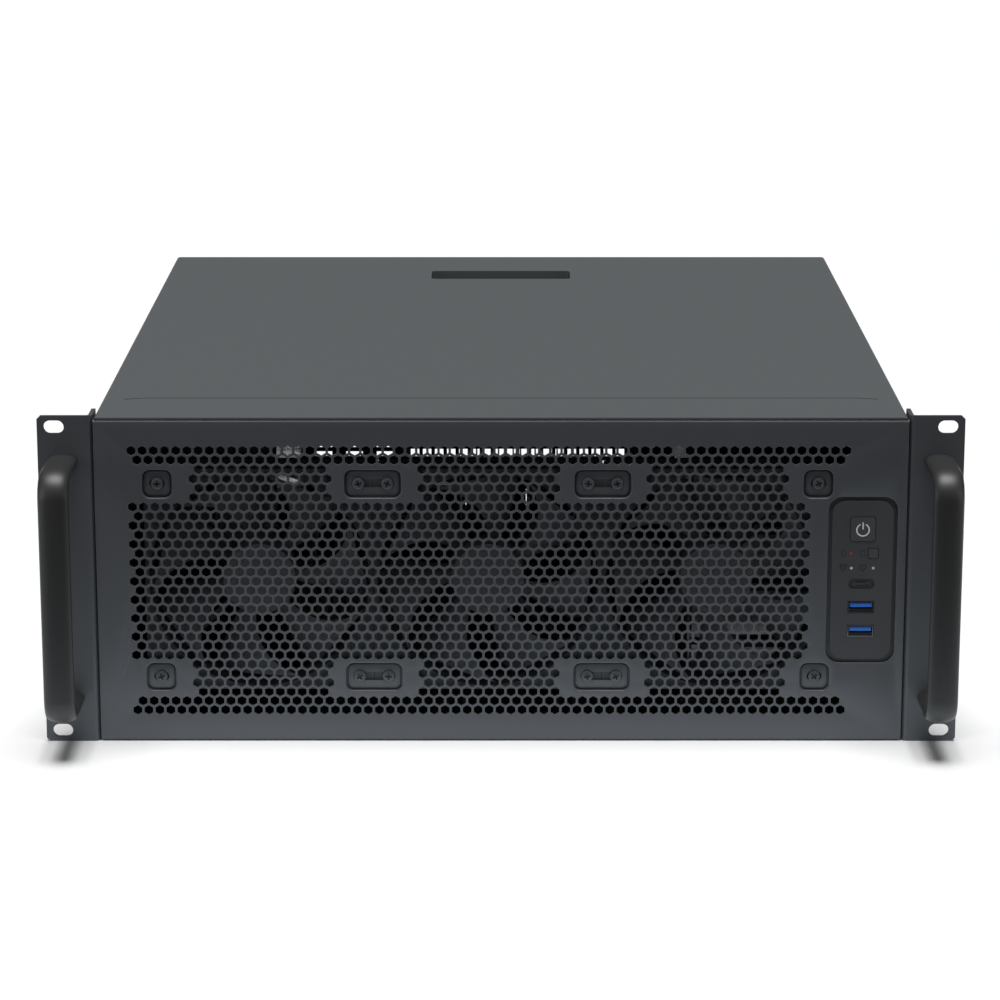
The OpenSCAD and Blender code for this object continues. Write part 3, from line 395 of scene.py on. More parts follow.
def finish_for(slot):
    """The material of one of the record's finishes."""
    paint = bpy.context.scene.server_paint
    table = {
        "black_steel": ("coat", paint.case_colour, 0.5, 1150.0, 0.9),
        "cover_steel": ("coat", paint.cover_colour, 0.58, 1150.0, 0.7, 0.0, 0.0, 0.0, 0.3),
        "handle_black": ("coat", paint.handle_colour, 0.36, 2600.0, 0.08),
        "screw_black": ("metal", (0.05, 0.05, 0.055), 0.35, 900.0, 0.1, 0.6),
        "screw_steel": ("metal", (0.55, 0.56, 0.58), 0.3, 900.0, 0.1, 1.0),
        "plate_plastic": ("skin", paint.plate_colour, 0.5, 2200.0, 0.12),
        "key_plastic": ("skin", paint.plate_colour, 0.45, 2200.0, 0.08),
        "light_red": ("skin", (0.5, 0.02, 0.015), 0.15, 900.0, 0.02, 0.0, 0.6, 0.35),
        "port_steel": ("metal", (0.72, 0.73, 0.75), 0.22, 1500.0, 0.04, 1.0),
        "usb_blue": ("skin", (0.01, 0.12, 0.62), 0.28, 1500.0, 0.03, 0.0, 0.4),
        "board_green": ("mask", (0.006, 0.042, 0.022), 0.38, 60.0, 0.25, 0.0, 0.3),
        "board_black": ("mask", (0.012, 0.013, 0.015), 0.38, 70.0, 0.25, 0.0, 0.3),
        "fan_plastic": ("skin", paint.fan_colour, 0.5, 1600.0, 0.12),
        "rotor_plastic": ("skin", paint.rotor_colour, 0.34, 1600.0, 0.05),
        "socket_plastic": ("skin", (0.02, 0.02, 0.022), 0.42, 1600.0, 0.08),
        "brass": ("metal", (0.62, 0.44, 0.17), 0.32, 900.0, 0.08, 1.0),
        "fin_aluminium": ("metal", (0.68, 0.69, 0.71), 0.34, 700.0, 0.12, 1.0),
        "dark_aluminium": ("metal", (0.1, 0.104, 0.11), 0.42, 700.0, 0.12, 0.7),
        "shield_steel": ("metal", (0.6, 0.61, 0.62), 0.3, 700.0, 0.1, 1.0),
        "cage_steel": ("metal", (0.42, 0.43, 0.44), 0.38, 700.0, 0.12, 1.0),
        "drive_metal": ("metal", (0.48, 0.49, 0.5), 0.42, 500.0, 0.18, 0.9),
        "supply_steel": ("coat", (0.03, 0.031, 0.033), 0.48, 1700.0, 0.25),
        "mark_grey": ("skin", (0.62, 0.63, 0.65), 0.4, 1500.0, 0.02),
        # Near-black finish of the plate's small signs, also used as painted shade inside the data ports.
        "dark_signs_and_port_shade": ("skin", (0.006, 0.006, 0.007), 0.5, 1500.0, 0.02),
        "lens_clear": ("skin", (0.5, 0.52, 0.55), 0.12, 900.0, 0.02, 0.0, 0.6),
        "chip_black": ("skin", (0.012, 0.012, 0.013), 0.42, 2400.0, 0.1),
        "can_steel": ("metal", (0.62, 0.63, 0.66), 0.28, 900.0, 0.05, 1.0),
        "contact_gold": ("metal", (0.8, 0.58, 0.22), 0.25, 900.0, 0.03, 1.0),
    }
    row = table[slot]
    names = ("metallic", "coat", "glow", "specular")
    return finish(slot, row[0], tuple(row[1]), row[2], row[3], row[4], **dict(zip(names, row[5:])))


# ---------------------------------------------------------------- sizes and colours a user would change

def length(name, description, default, low, high):
    return FloatProperty(name=name, description=description, default=default, min=low, max=high,
                         subtype="DISTANCE", unit="LENGTH", precision=5)


def colour(name, description, default):
    return FloatVectorProperty(name=name, description=description, default=default, size=3, min=0, max=1,
                               subtype="COLOR")


class ServerPaintSettings(bpy.types.PropertyGroup):
    """Colours of the case, the cover, the handles and the plastic parts."""
    case_colour: colour("Case", "Powder coat of the case, the face and the ears", (0.044, 0.046, 0.052))
    cover_colour: colour("Cover", "Powder coat of the sliding cover", (0.033, 0.0355, 0.0385))
    handle_colour: colour("Handles", "Satin coat of the two handles", (0.012, 0.012, 0.013))
    plate_colour: colour("Control plate", "Plastic of the control plate and its keys", (0.046, 0.049, 0.053))
    fan_colour: colour("Fan frames", "Plastic of the fan frames", (0.075, 0.079, 0.085))
    rotor_colour: colour("Fan blades", "Plastic of the fan rotors", (0.060, 0.063, 0.067))


class ServerFaceSettings(bpy.types.PropertyGroup):
    """Sizes of the vented face."""
    vent_pitch: length("Vent pitch", "Between the middles of two vents in a row", 0.005822, 0.004, 0.012)
    vent_width: length("Vent width", "Across the flats of a vent", 0.0045, 0.002, 0.01)
    edge_break: length("Edge break", "Rounding of the vents' front edges", 0.0003, 0.0, 0.0005)
    vents_left: length("First vent", "Middle of the first vent in a long row, from the middle of the face",
                       -0.1926, -0.3, 0.0)
    vents_right: length("Last vent beside the plate", "Middle of the last vent in the rows beside the plate",
                        0.1600, 0.0, 0.3)
    lowest_row: length("Lowest row", "Height of the lowest row of vents", 0.0172, 0.01, 0.05)
    rows: IntProperty(name="Rows", description="Number of rows of vents", default=29, min=3, max=40)
    sheet: length("Sheet", "Thickness of the steel sheet", 0.0012, 0.0008, 0.002)
    bend: length("Bend", "Outer radius of the folded edges", 0.0016, 0.0013, 0.004)
    press_depth: length("Press depth", "Depth of the pads that the fans are screwed to", 0.0018, 0.0005, 0.003)
    pad_height: length("Pad height", "Height of a pressed pad", 0.0163, 0.01, 0.03)
    screw_pitch: length("Fan screw spacing", "Between the screws of one fan", 0.105, 0.08, 0.12)


class ServerHandleSettings(bpy.types.PropertyGroup):
    """Section and bend of the handles."""
    bend: length("Bend radius", "Radius of the bend at the middle of the bar", 0.0115, 0.008, 0.02)
    thickness: length("Thickness", "Thickness of the bar as seen from the side", 0.007, 0.004, 0.012)
    roundness: FloatProperty(name="Roundness", description="2 is an oval, more is squarer",
                             default=2.15, min=2, max=6)


class ServerBoardSettings(bpy.types.PropertyGroup):
    """Small parts on the boards."""
    can_radius: length("Capacitor radius", "Radius of the round capacitors", 0.0031, 0.002, 0.006)
    can_height: length("Capacitor height", "Height of the round capacitors", 0.0085, 0.004, 0.015)


class ServerStageSettings(bpy.types.PropertyGroup):
    """Camera, lights and floor."""
    camera_back: length("Camera back", "Distance of the camera in front of the middle", 1.959, 1.0, 5.0)
    camera_up: length("Camera up", "Height of the camera above the floor", 0.566, 0.0, 3.0)
    camera_tilt: FloatProperty(name="Camera tilt", description="Angle below the horizon", default=radians(14.04),
                               min=0, max=radians(90), subtype="ANGLE", unit="ROTATION")
    lens: FloatProperty(name="Lens", description="Focal length in millimetres", default=123.3, min=30, max=300)
    floor_colour: colour("Floor", "Pale floor", (0.76, 0.76, 0.76))
    bounce_colour: colour("Floor bounce", "Light that the floor by the case throws up", (0.90, 0.97, 1.0))
    room_light: FloatProperty(name="Room light", description="Strength of the even light all round", default=0.09,
                              min=0, max=5)
    sky_light: FloatProperty(name="Overhead light", description="Strength of the broad soft light overhead",
                             default=4.1, min=0, max=20)
    sky_lean: FloatProperty(name="Overhead lean", description="How far the overhead light comes from the front",
                            default=radians(6), min=radians(-60), max=radians(60),
                            subtype="ANGLE", unit="ROTATION")
    side_light: FloatProperty(name="Side light", description="Power of the strip lamps at both sides, in watts",
                              default=3.0, min=0, max=200)


# ---------------------------------------------------------------- pieces

class SERVER_OT_paint(bpy.types.Operator):
    """Gives every part of the frame its finish"""
    bl_idname = "server.paint"
    bl_label = "Paint the parts"

    def execute(self, context):
        for name, part in NODES.items():
            part.data.materials.clear()
            part.data.materials.append(finish_for(SLOTS[name]))
        return {"FINISHED"}


def vent_places(s):
    """Middles of the vents: long rows above and below, shorter ones by the pads and the plate."""
    reach = s.vent_width / 2 + 0.0046
    pads = pad_places(s)
    blocked = s.pad_height / 2 + 0.0019
    row_step = s.vent_pitch * sqrt(3) / 2
    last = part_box("front_panel")[1][0] - 0.0305
    places = []
    for row in range(s.rows):
        z = s.lowest_row + row * row_step
        beside_pads = any(abs(z - pz) < blocked for _, pz, _ in pads)
        beside_plate = min(row, s.rows - 1 - row) > 1
        x = s.vents_left + (row % 2) * s.vent_pitch / 2
        while x < last:
            near_pad = any(abs(x - px) < width / 2 + reach + 0.0011 for px, _, width in pads)
            outside = x < pads[0][0] or x > pads[-1][0] - 0.012
            if not (beside_pads and (near_pad or outside)) and not (beside_plate and x > s.vents_right):
                places.append((x, z))
            x += s.vent_pitch
    return places


def pad_places(s):
    """Middle and width of each pressed pad."""
    fans = [centre(f"fan_frame_{i}") for i in (1, 2, 3)]
    half = s.screw_pitch / 2
    double = s.pad_height + fans[1].x - fans[0].x - s.screw_pitch - 0.0005
    places = []
    for z in (fans[0].z - half, fans[0].z + half):
        places.append((fans[0].x - half, z, s.pad_height + 0.0005))
        places.extend(((a.x + b.x) / 2, z, double) for a, b in zip(fans, fans[1:]))
        places.append((fans[2].x + half, z, s.pad_height + 0.0005))
    return sorted(places)


def hexagon(width):
    radius = width / sqrt(3)
    return [(radius * cos(pi / 2 + i * pi / 3), radius * sin(pi / 2 + i * pi / 3)) for i in range(6)]


def pad_loops(s, width):
    """Outlines of a pressed pad from the front of the sheet, round the screw slot, to its back."""
    down, t = s.press_depth, s.sheet
    floor = down / MM
    front = ((0.0, 0.0), (0.25, 0.03), (0.45, 0.14), (0.6, 0.36), (0.66, 0.7), (0.68, floor + 0.5),
             (0.8, floor + 0.68), (1.4, floor + 0.68), (1.52, floor + 0.5), (1.54, floor + 0.3),
             (1.62, floor + 0.1), (1.85, floor))
    corner = 0.0045
    loops = [(y * MM, rounded_outline(width - 2 * inset * MM, s.pad_height - 2 * inset * MM, corner - inset * MM))
             for inset, y in front]
    slot_height = 0.0045
    slot_width = max(width - s.pad_height + slot_height + 0.0030, slot_height + 0.0002)
    slot = rounded_outline(slot_width, slot_height, slot_height / 2 - 0.00001)
    loops += [(down, slot), (down + t, slot)]
    back = ((0.9, down / MM + t / MM), (0.2, down / MM + t / MM - 0.25), (-0.15, down / MM + t / MM - 0.8),
            (-0.3, t / MM + 0.2), (-0.4, t / MM))
    loops += [(y * MM, rounded_outline(width - 2 * inset * MM, s.pad_height - 2 * inset * MM, corner - inset * MM))
              for inset, y in back]
    return loops


class SERVER_OT_face(bpy.types.Operator):
    """Makes the folded face with its fine vents, pressed pads and the opening for the control plate"""
    bl_idname = "server.face"
    bl_label = "Make the vented face"

    def execute(self, context):
        s = context.scene.server_face
        low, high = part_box("front_panel")
        t, bend = s.sheet, s.bend
        holes = []
        for x, z in vent_places(s):
            wide, true = hexagon(s.vent_width + 2 * s.edge_break), hexagon(s.vent_width)
            middle = hexagon(s.vent_width + 0.6 * s.edge_break)
            holes.append([(0, moved(wide, x, z)), (s.edge_break * 0.3, moved(middle, x, z)),
                          (s.edge_break, moved(true, x, z)), (t, moved(true, x, z))])
        for x, z, width in pad_places(s):
            holes.append([(y, moved(outline, x, z)) for y, outline in pad_loops(s, width)])
        plate_low, plate_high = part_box("control_plate")
        px, pz = (plate_low[0] + plate_high[0]) / 2, (plate_low[2] + plate_high[2]) / 2
        wide, tall = self.plate_size()
        corner = 0.0072
        opening = [(y * MM, moved(rounded_outline(wide + grow * MM, tall + grow * MM, corner + grow * MM / 2), px, pz))
                   for y, grow in ((0.0, 0.62), (0.1, 0.3), (0.3, 0.16), (t / MM, 0.16))]
        holes.append(opening)

        shape = Shape()
        front_y = low[1]
        x0, x1 = low[0], high[0]
        z0, z1 = low[2] + bend, high[2] - bend
        rim = [(x0, z0), (x1, z0), (x1, z1), (x0, z1)]
        front_points = rim + [p for loops in holes for p in loops[0][1]]
        back_points = rim + [p for loops in holes for p in loops[-1][1]]
        owner = [-1] * 4 + [k for k, loops in enumerate(holes) for _ in loops[0][1]]
        edges, first = [(0, 1), (1, 2), (2, 3), (3, 0)], 4
        for loops in holes:
            count = len(loops[0][1])
            edges += [(first + i, first + (i + 1) % count) for i in range(count)]
            first += count
        found = delaunay_2d_cdt([Vector(p) for p in front_points], edges, [], 0, 1e-9)
        points, triangles, origins = found[0], found[2], found[3]
        index = [(o[0] if o else None) for o in origins]
        front = shape.ring([(x, front_y, z) for x, z in front_points])
        back = shape.ring([(x, front_y + t, z) for x, z in back_points])
        for triangle in triangles:
            ids = [index[i] for i in triangle]
            owners = {owner[i] for i in ids}
            if len(owners) == 1 and -1 not in owners:
                continue
            shape.faces.append(tuple(front[i] for i in ids))
            shape.faces.append(tuple(back[i] for i in reversed(ids)))
        first = 4
        for loops in holes:
            count = len(loops[0][1])
            rings = [front[first:first + count]]
            rings += [shape.ring([(x, front_y + y, z) for x, z in outline]) for y, outline in loops[1:-1]]
            rings.append(back[first:first + count])
            for a, b in zip(rings, rings[1:]):
                shape.bridge(a, b)
            first += count
        self.folded_edges(shape, front, back, (x0, x1), (low[2], high[2]), front_y, t, bend)
        face = shape.piece("front_face", finish_for("black_steel"), "chassis", "black_steel", smooth=50)
        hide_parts("front_panel")
        return {"FINISHED"}

    def plate_size(self):
        low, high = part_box("control_plate")
        return high[0] - low[0], high[2] - low[2]

    def folded_edges(self, shape, front, back, xs, zs, front_y, t, bend):
        """Rolls the sheet back along its top and bottom edges."""
        for upper, corners in ((True, (3, 2)), (False, (0, 1))):
            sign = 1 if upper else -1
            edge = zs[1] if upper else zs[0]
            outer, inner = [], []
            for i in range(1, 7):
                angle = i / 6 * pi / 2
                for radius, line in ((bend, outer), (bend - t, inner)):
                    line.append((front_y + bend - radius * cos(angle), edge - sign * (bend - radius * sin(angle))))
            outer.append((front_y + bend + 0.0009, edge))
            inner.append((front_y + bend + 0.0009, edge - sign * t))
            strips = []
            for line, start in ((outer, front), (inner, back)):
                rows = [[start[corners[0]], start[corners[1]]]]
                rows += [shape.ring([(x, y, z) for x in xs]) for y, z in line]
                for a, b in zip(rows, rows[1:]):
                    shape.faces.append((a[0], a[1], b[1], b[0]))
                strips.append(rows)
            outside, inside = strips
            shape.faces.append((outside[-1][0], outside[-1][1], inside[-1][1], inside[-1][0]))
            for side in (0, 1):
                for a, b, c, d in zip(outside, outside[1:], inside[1:], inside):
                    shape.faces.append((a[side], b[side], c[side], d[side]))
            margin = 0.004
            shape.block((xs[0] + margin, front_y + bend + 0.0006, min(edge, edge - sign * t) + 0.00002),
                        (xs[1] - margin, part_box("front_panel")[1][1], max(edge, edge - sign * t) - 0.00002))
        for side in (0, 3), (1, 2):
            shape.faces.append((front[side[0]], front[side[1]], back[side[1]], back[side[0]]))


class SERVER_OT_handles(bpy.types.Operator):
    """Makes the two bent handle bars"""
    bl_idname = "server.handles"
    bl_label = "Make the handles"

    def execute(self, context):
        s = context.scene.server_handles
        for name in ("left_handle", "right_handle"):
            low, high = (Vector(c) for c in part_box(name))
            x = (low.x + high.x) / 2
            half_width, half_thick = (high.x - low.x) / 2, s.thickness / 2
            count = 32
            power = 2 / s.roundness
            section = []
            for i in range(count):
                c, n = cos(2 * pi * i / count), sin(2 * pi * i / count)
                section.append((half_width * abs(c) ** power * (1 if c > 0 else -1),
                                half_thick * abs(n) ** power * (1 if n > 0 else -1)))
            place = lambda y, z: Vector((x, y, z))
            y_front, y_back = low.y + half_thick, high.y
            z_low, z_high = low.z + half_thick, high.z - half_thick
            r = s.bend
            path = [place(y_back, z_low), place(y_back - 0.004, z_low)]
            path += arc((y_front + r, z_low + r), r, -pi / 2, -pi, 14, place)
            path += [place(y_front, (z_low + z_high) / 2)]
            path += arc((y_front + r, z_high - r), r, pi, pi / 2, 14, place)
            path += [place(y_back - 0.004, z_high), place(y_back, z_high)]
            shape = Shape()
            swept(shape, path, section, Vector((1, 0, 0)))
            bar = shape.piece(name + "_bar", finish_for("handle_black"), "chassis", "handle_black", smooth=60)
            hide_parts(name)
        return {"FINISHED"}


class SERVER_OT_marks(bpy.types.Operator):
    """Makes the power mark and the small signs of the control plate"""
    bl_idname = "server.marks"
    bl_label = "Make the plate's marks"

    def execute(self, context):
        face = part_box("control_plate")[0][1]
        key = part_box("power_button")
        middle = centre("power_button")
        shape = Shape()
        y = key[0][1]
        gap = radians(26)
        outer = moved(round_outline(0.0036, 33, pi / 2 + gap, 2 * pi - 2 * gap), middle.x, middle.z - 0.0003)
        inner = moved(round_outline(0.0029, 33, pi / 2 + gap, 2 * pi - 2 * gap), middle.x, middle.z - 0.0003)
        shape.band(outer, inner, y + 0.0002, y - 0.00004, closed=False)
        shape.plate(moved(rounded_outline(0.0007, 0.0038, 0.0003, 3), middle.x, middle.z + 0.0019),
                    y + 0.0002, y - 0.00004)
        shape.piece("power_mark", finish_for("mark_grey"), "power_key", "key_plastic")

        reset = centre("reset_button")
        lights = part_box("status_lights")
        left, right = lights[0][0] + 0.0013, lights[1][0] - 0.0013
        low_row = lights[0][2] + 0.0013
        sign = Shape()
        drive = rounded_outline(0.0026, 0.0034, 0.0012, 4), rounded_outline(0.0018, 0.0026, 0.0008, 4)
        sign.band(moved(drive[0], left - 0.0045, reset.z), moved(drive[1], left - 0.0045, reset.z),
                  face + 0.0002, face - 0.00003)
        ring = round_outline(0.0017, 20, 0.6, 5.2), round_outline(0.0013, 20, 0.6, 5.2)
        sign.band(moved(ring[0], reset.x - 0.0053, reset.z), moved(ring[1], reset.x - 0.0053, reset.z),
                  face + 0.0002, face - 0.00003, closed=False)
        for x in (left - 0.0045, right - 0.0050):
            shield = [(0.0017, 0.0016), (-0.0017, 0.0016), (-0.0017, -0.0007), (0.0, -0.0022), (0.0017, -0.0007)]
            small = [(a * 0.72, b * 0.72) for a, b in shield]
            sign.band(moved(shield, x, low_row), moved(small, x, low_row), face + 0.0002, face - 0.00003)
            sign.plate(moved(rounded_outline(0.0004, 0.0016, 0.00015, 2), x, low_row),
                       face + 0.0002, face - 0.00003)
        sign.piece("plate_signs", finish_for("dark_signs_and_port_shade"), "chassis", "plate_plastic")
        return {"FINISHED"}


class SERVER_OT_lights_and_ports(bpy.types.Operator):
    """Makes the indicator lenses and near-black blocks in the data ports that paint the shade inside them"""
    bl_idname = "server.lights_and_ports"
    bl_label = "Make the lights and ports"

    def execute(self, context):
        boxes = sorted(islands("status_lights"), key=lambda b: (-b[0].z, b[0].x))
        for i, (low, high) in enumerate(boxes):
            lens = Shape()
            x, z, r = (low.x + high.x) / 2, (low.z + high.z) / 2, (high.x - low.x) / 2
            dome = ((1, high.y), (1, low.y + 0.0002), (0.9, low.y), (0.6, low.y - 0.00008), (0.2, low.y - 0.00012))
            turns = [2 * pi * j / 20 for j in range(20)]
            rings = [lens.ring([(x + r * k * cos(turn), y, z + r * k * sin(turn)) for turn in turns]) for k, y in dome]
            lens.cap(rings[0], flip=True)
            for a, b in zip(rings, rings[1:]):
                lens.bridge(a, b)
            lens.cap(rings[-1])
            slot = "light_red" if i == 0 else "lens_clear"
            made = lens.piece(f"indicator_{i + 1}", finish_for(slot), "chassis", "light_red")
            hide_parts("status_lights")
        # Near-black blocks under and behind each USB-A tongue: painted shade inside the ports.
        port_shade = Shape()
        for low, high in islands("usb_a_tongues"):
            middle = (low.x + high.x) / 2
            half = 0.0063 - 0.00006
            bottom = low.z - 0.00245
            floor_top = low.z - 0.0011
            port_shade.block((middle - half, low.y + 0.0005, bottom), (middle + half, high.y, floor_top))
            port_shade.block((middle - half, high.y - 0.0008, floor_top), (middle + half, high.y, high.z + 0.0005))
        low, high = (Vector(corner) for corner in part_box("usb_c_port"))
        x, z = (low.x + high.x) / 2, (low.z + high.z) / 2
        rim = Shape()
        outer, inner = rounded_outline(0.0092, 0.0038, 0.0018), rounded_outline(0.0082, 0.0028, 0.0013)
        rim.band(moved(outer, x, z), moved(inner, x, z), low.y + 0.0003, low.y - 0.00005)
        rim.piece("small_port_rim", finish_for("port_steel"), "chassis", "port_steel")
        port_shade.piece("port_painted_shade", finish_for("dark_signs_and_port_shade"), "chassis", "socket_plastic")
        return {"FINISHED"}


def islands(name):
    """Corner pairs of the separate solids of a part."""
    mesh = NODES[name].data
    leader = list(range(len(mesh.vertices)))

    def find(i):
        while leader[i] != i:
            leader[i] = leader[leader[i]]
            i = leader[i]
        return i

    places = {}
    for vertex in mesh.vertices:
        key = tuple(round(c, 6) for c in vertex.co)
        leader[find(vertex.index)] = find(places.setdefault(key, vertex.index))
    for edge in mesh.edges:
        leader[find(edge.vertices[0])] = find(edge.vertices[1])
    boxes = {}
    for vertex in mesh.vertices:
        low, high = boxes.setdefault(find(vertex.index), (vertex.co.copy(), vertex.co.copy()))
        for k in range(3):
            low[k], high[k] = min(low[k], vertex.co[k]), max(high[k], vertex.co[k])
    return list(boxes.values())


class SERVER_OT_screws(bpy.types.Operator):
    """Makes the cross-headed screws of the fans"""
    bl_idname = "server.screws"
    bl_label = "Make the screws"

    def execute(self, context):
        for name, slot in (("fan_screws", "screw_black"),):
            shape = Shape()
            for low, high in islands(name):
                x, z = (low.x + high.x) / 2, (low.z + high.z) / 2
                self.cross_head(shape, x, low.y, z, (high.x - low.x) / 2, high.y)
            made = shape.piece(name + "_detailed", finish_for(slot), "chassis", slot, smooth=40)
            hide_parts(name)
        return {"FINISHED"}

    def cross_head(self, shape, x, front, z, radius, back):
        """Domed pan head facing forward, with a tapering cross recess, and a plain shank."""
        turn = (round(x / MM) * 37 + round(z / MM) * 53) % 90
        wing, half = radius * 0.56, radius * 0.13
        arms = []
        for k in range(4):
            a = radians(turn + 90 * k)
            c, n = cos(a), sin(a)
            for along, across in ((wing, -half), (wing, half), (half, half)):
                arms.append((along * c - across * n, along * n + across * c))
        rings = [round_outline(radius * k, 28) for k in (0.985, 0.9, 0.76)]
        points = [p for ring in rings for p in ring] + arms
        edges = []
        for first, count in ((0, 28), (28, 28), (56, 28), (84, 12)):
            edges += [(first + i, first + (i + 1) % count) for i in range(count)]
        found = delaunay_2d_cdt([Vector(p) for p in points], edges, [], 0, 1e-9)
        dome = radius * 0.30

        def depth(px, pz):
            share = min(hypot(px, pz) / radius, 1.0)
            return front + dome * (1 - sqrt(max(1 - 0.9 * share ** 2.6, 0.0)))

        top = shape.ring([(x + px, depth(px, pz), z + pz) for px, pz in points])
        names = [o[0] for o in found[3]]
        for triangle in found[2]:
            ids = [names[i] for i in triangle]
            if min(ids) >= 84:
                continue
            shape.faces.append(tuple(top[i] for i in ids))
        mouth = top[84:]
        floor = shape.ring([(x + px * 0.72, front + radius * 0.42, z + pz * 0.72) for px, pz in arms])
        shape.bridge(mouth, floor)
        shape.cap(floor)
        seat = front + radius * 0.52
        rim = shape.ring([(x + px / 0.985, seat - 0.0002, z + pz / 0.985) for px, pz in rings[0]])
        base = shape.ring([(x + px, seat, z + pz) for px, pz in rings[0]])
        neck = shape.ring([(x + px * 0.48, seat, z + pz * 0.48) for px, pz in rings[0]])
        tip = shape.ring([(x + px * 0.48, back, z + pz * 0.48) for px, pz in rings[0]])
        for a, b in ((top[:28], rim), (rim, base), (base, neck), (neck, tip)):
            shape.bridge(a, b)
        shape.cap(tip)


class SERVER_OT_board_parts(bpy.types.Operator):
    """Adds chips, capacitors and coils to the main board"""
    bl_idname = "server.board_parts"
    bl_label = "Make the board's parts"

    def execute(self, context):
        s = context.scene.server_board
        low, high = (Vector(c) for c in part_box("motherboard"))
        top = high.z
        names = ("memory_modules", "cpu_heatsink", "cpu_fan_frame", "port_shield", "rear_ports")
        taken = []
        for name in names:
            a, b = (Vector(c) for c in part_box(name))
            taken.append((a.x, a.y, b.x, b.y))
        for name in ("board_heatsinks", "board_sockets", "standoffs"):
            taken.extend((a.x, a.y, b.x, b.y) for a, b in islands(name))
        cans, chips, coils = Shape(), Shape(), Shape()

        def free(x, y, reach):
            if not (low.x + reach < x < high.x - reach and low.y + reach < y < high.y - reach):
                return False
            return all(x + reach < x0 or x - reach > x1 or y + reach < y0 or y - reach > y1
                       for x0, y0, x1, y1 in taken)

        def claim(x, y, reach):
            taken.append((x - reach, y - reach, x + reach, y + reach))

        socket_middle = centre("cpu_heatsink")
        for side in (-1, 1):
            for i in range(7):
                x, y = socket_middle.x - 30 * MM + i * 10 * MM, socket_middle.y + side * 60 * MM
                if free(x, y, s.can_radius + 0.8 * MM):
                    self.capacitor(cans, x, y, top, s)
                    claim(x, y, s.can_radius + 0.8 * MM)
        steps_x, steps_y = int((high.x - low.x) / (17 * MM)), int((high.y - low.y) / (17 * MM))
        for row in range(steps_y):
            for column in range(steps_x):
                pick = (column * 7 + row * 13 + (column * row) % 5) % 11
                x = low.x + (12 + column * 17 + (pick % 3) * 2) * MM
                y = low.y + (11 + row * 17 + (pick % 4)) * MM
                if pick in (1, 4, 8) and free(x, y, 6.5 * MM):
                    half = (3.0 + (pick % 3) * 1.2) * MM
                    chips.block((x - half, y - half * 0.8, top),
                                (x + half, y + half * 0.8, top + 1.4 * MM), 0.25 * MM)
                    claim(x, y, 6.5 * MM)
                elif pick in (5, 7) and free(x, y, 4.6 * MM):
                    half = 3.6 * MM
                    coils.block((x - half, y - half, top), (x + half, y + half, top + 5 * MM), 0.5 * MM)
                    claim(x, y, 4.6 * MM)
                elif pick in (2, 9) and free(x, y, s.can_radius + 0.8 * MM):
                    self.capacitor(cans, x, y, top, s)
                    claim(x, y, s.can_radius + 0.8 * MM)
                elif pick in (0, 5, 6) and free(x, y, 5 * MM):
                    for k in range(3):
                        chips.block((x - 3 * MM + k * 2.4 * MM, y - 0.8 * MM, top),
                                    (x - 1.8 * MM + k * 2.4 * MM, y + 0.8 * MM, top + 0.9 * MM), 0.1 * MM)
                    claim(x, y, 5 * MM)
        cans.piece("board_capacitors", finish_for("can_steel"), "chassis", "drive_metal")
        chips.piece("board_chips", finish_for("chip_black"), "chassis", "socket_plastic")
        coils.piece("board_coils", finish_for("dark_aluminium"), "chassis", "dark_aluminium")
        return {"FINISHED"}

    def capacitor(self, shape, x, y, top, s):
        r, h = s.can_radius, s.can_height
        shape.turned(((r * 0.94, 0), (r, 0.0004), (r, 0.0012), (r * 0.9, 0.0016), (r, 0.0020), (r, h - 0.0005),
                      (r * 0.86, h), (r * 0.84, h - 0.0002)), (x, y, top))


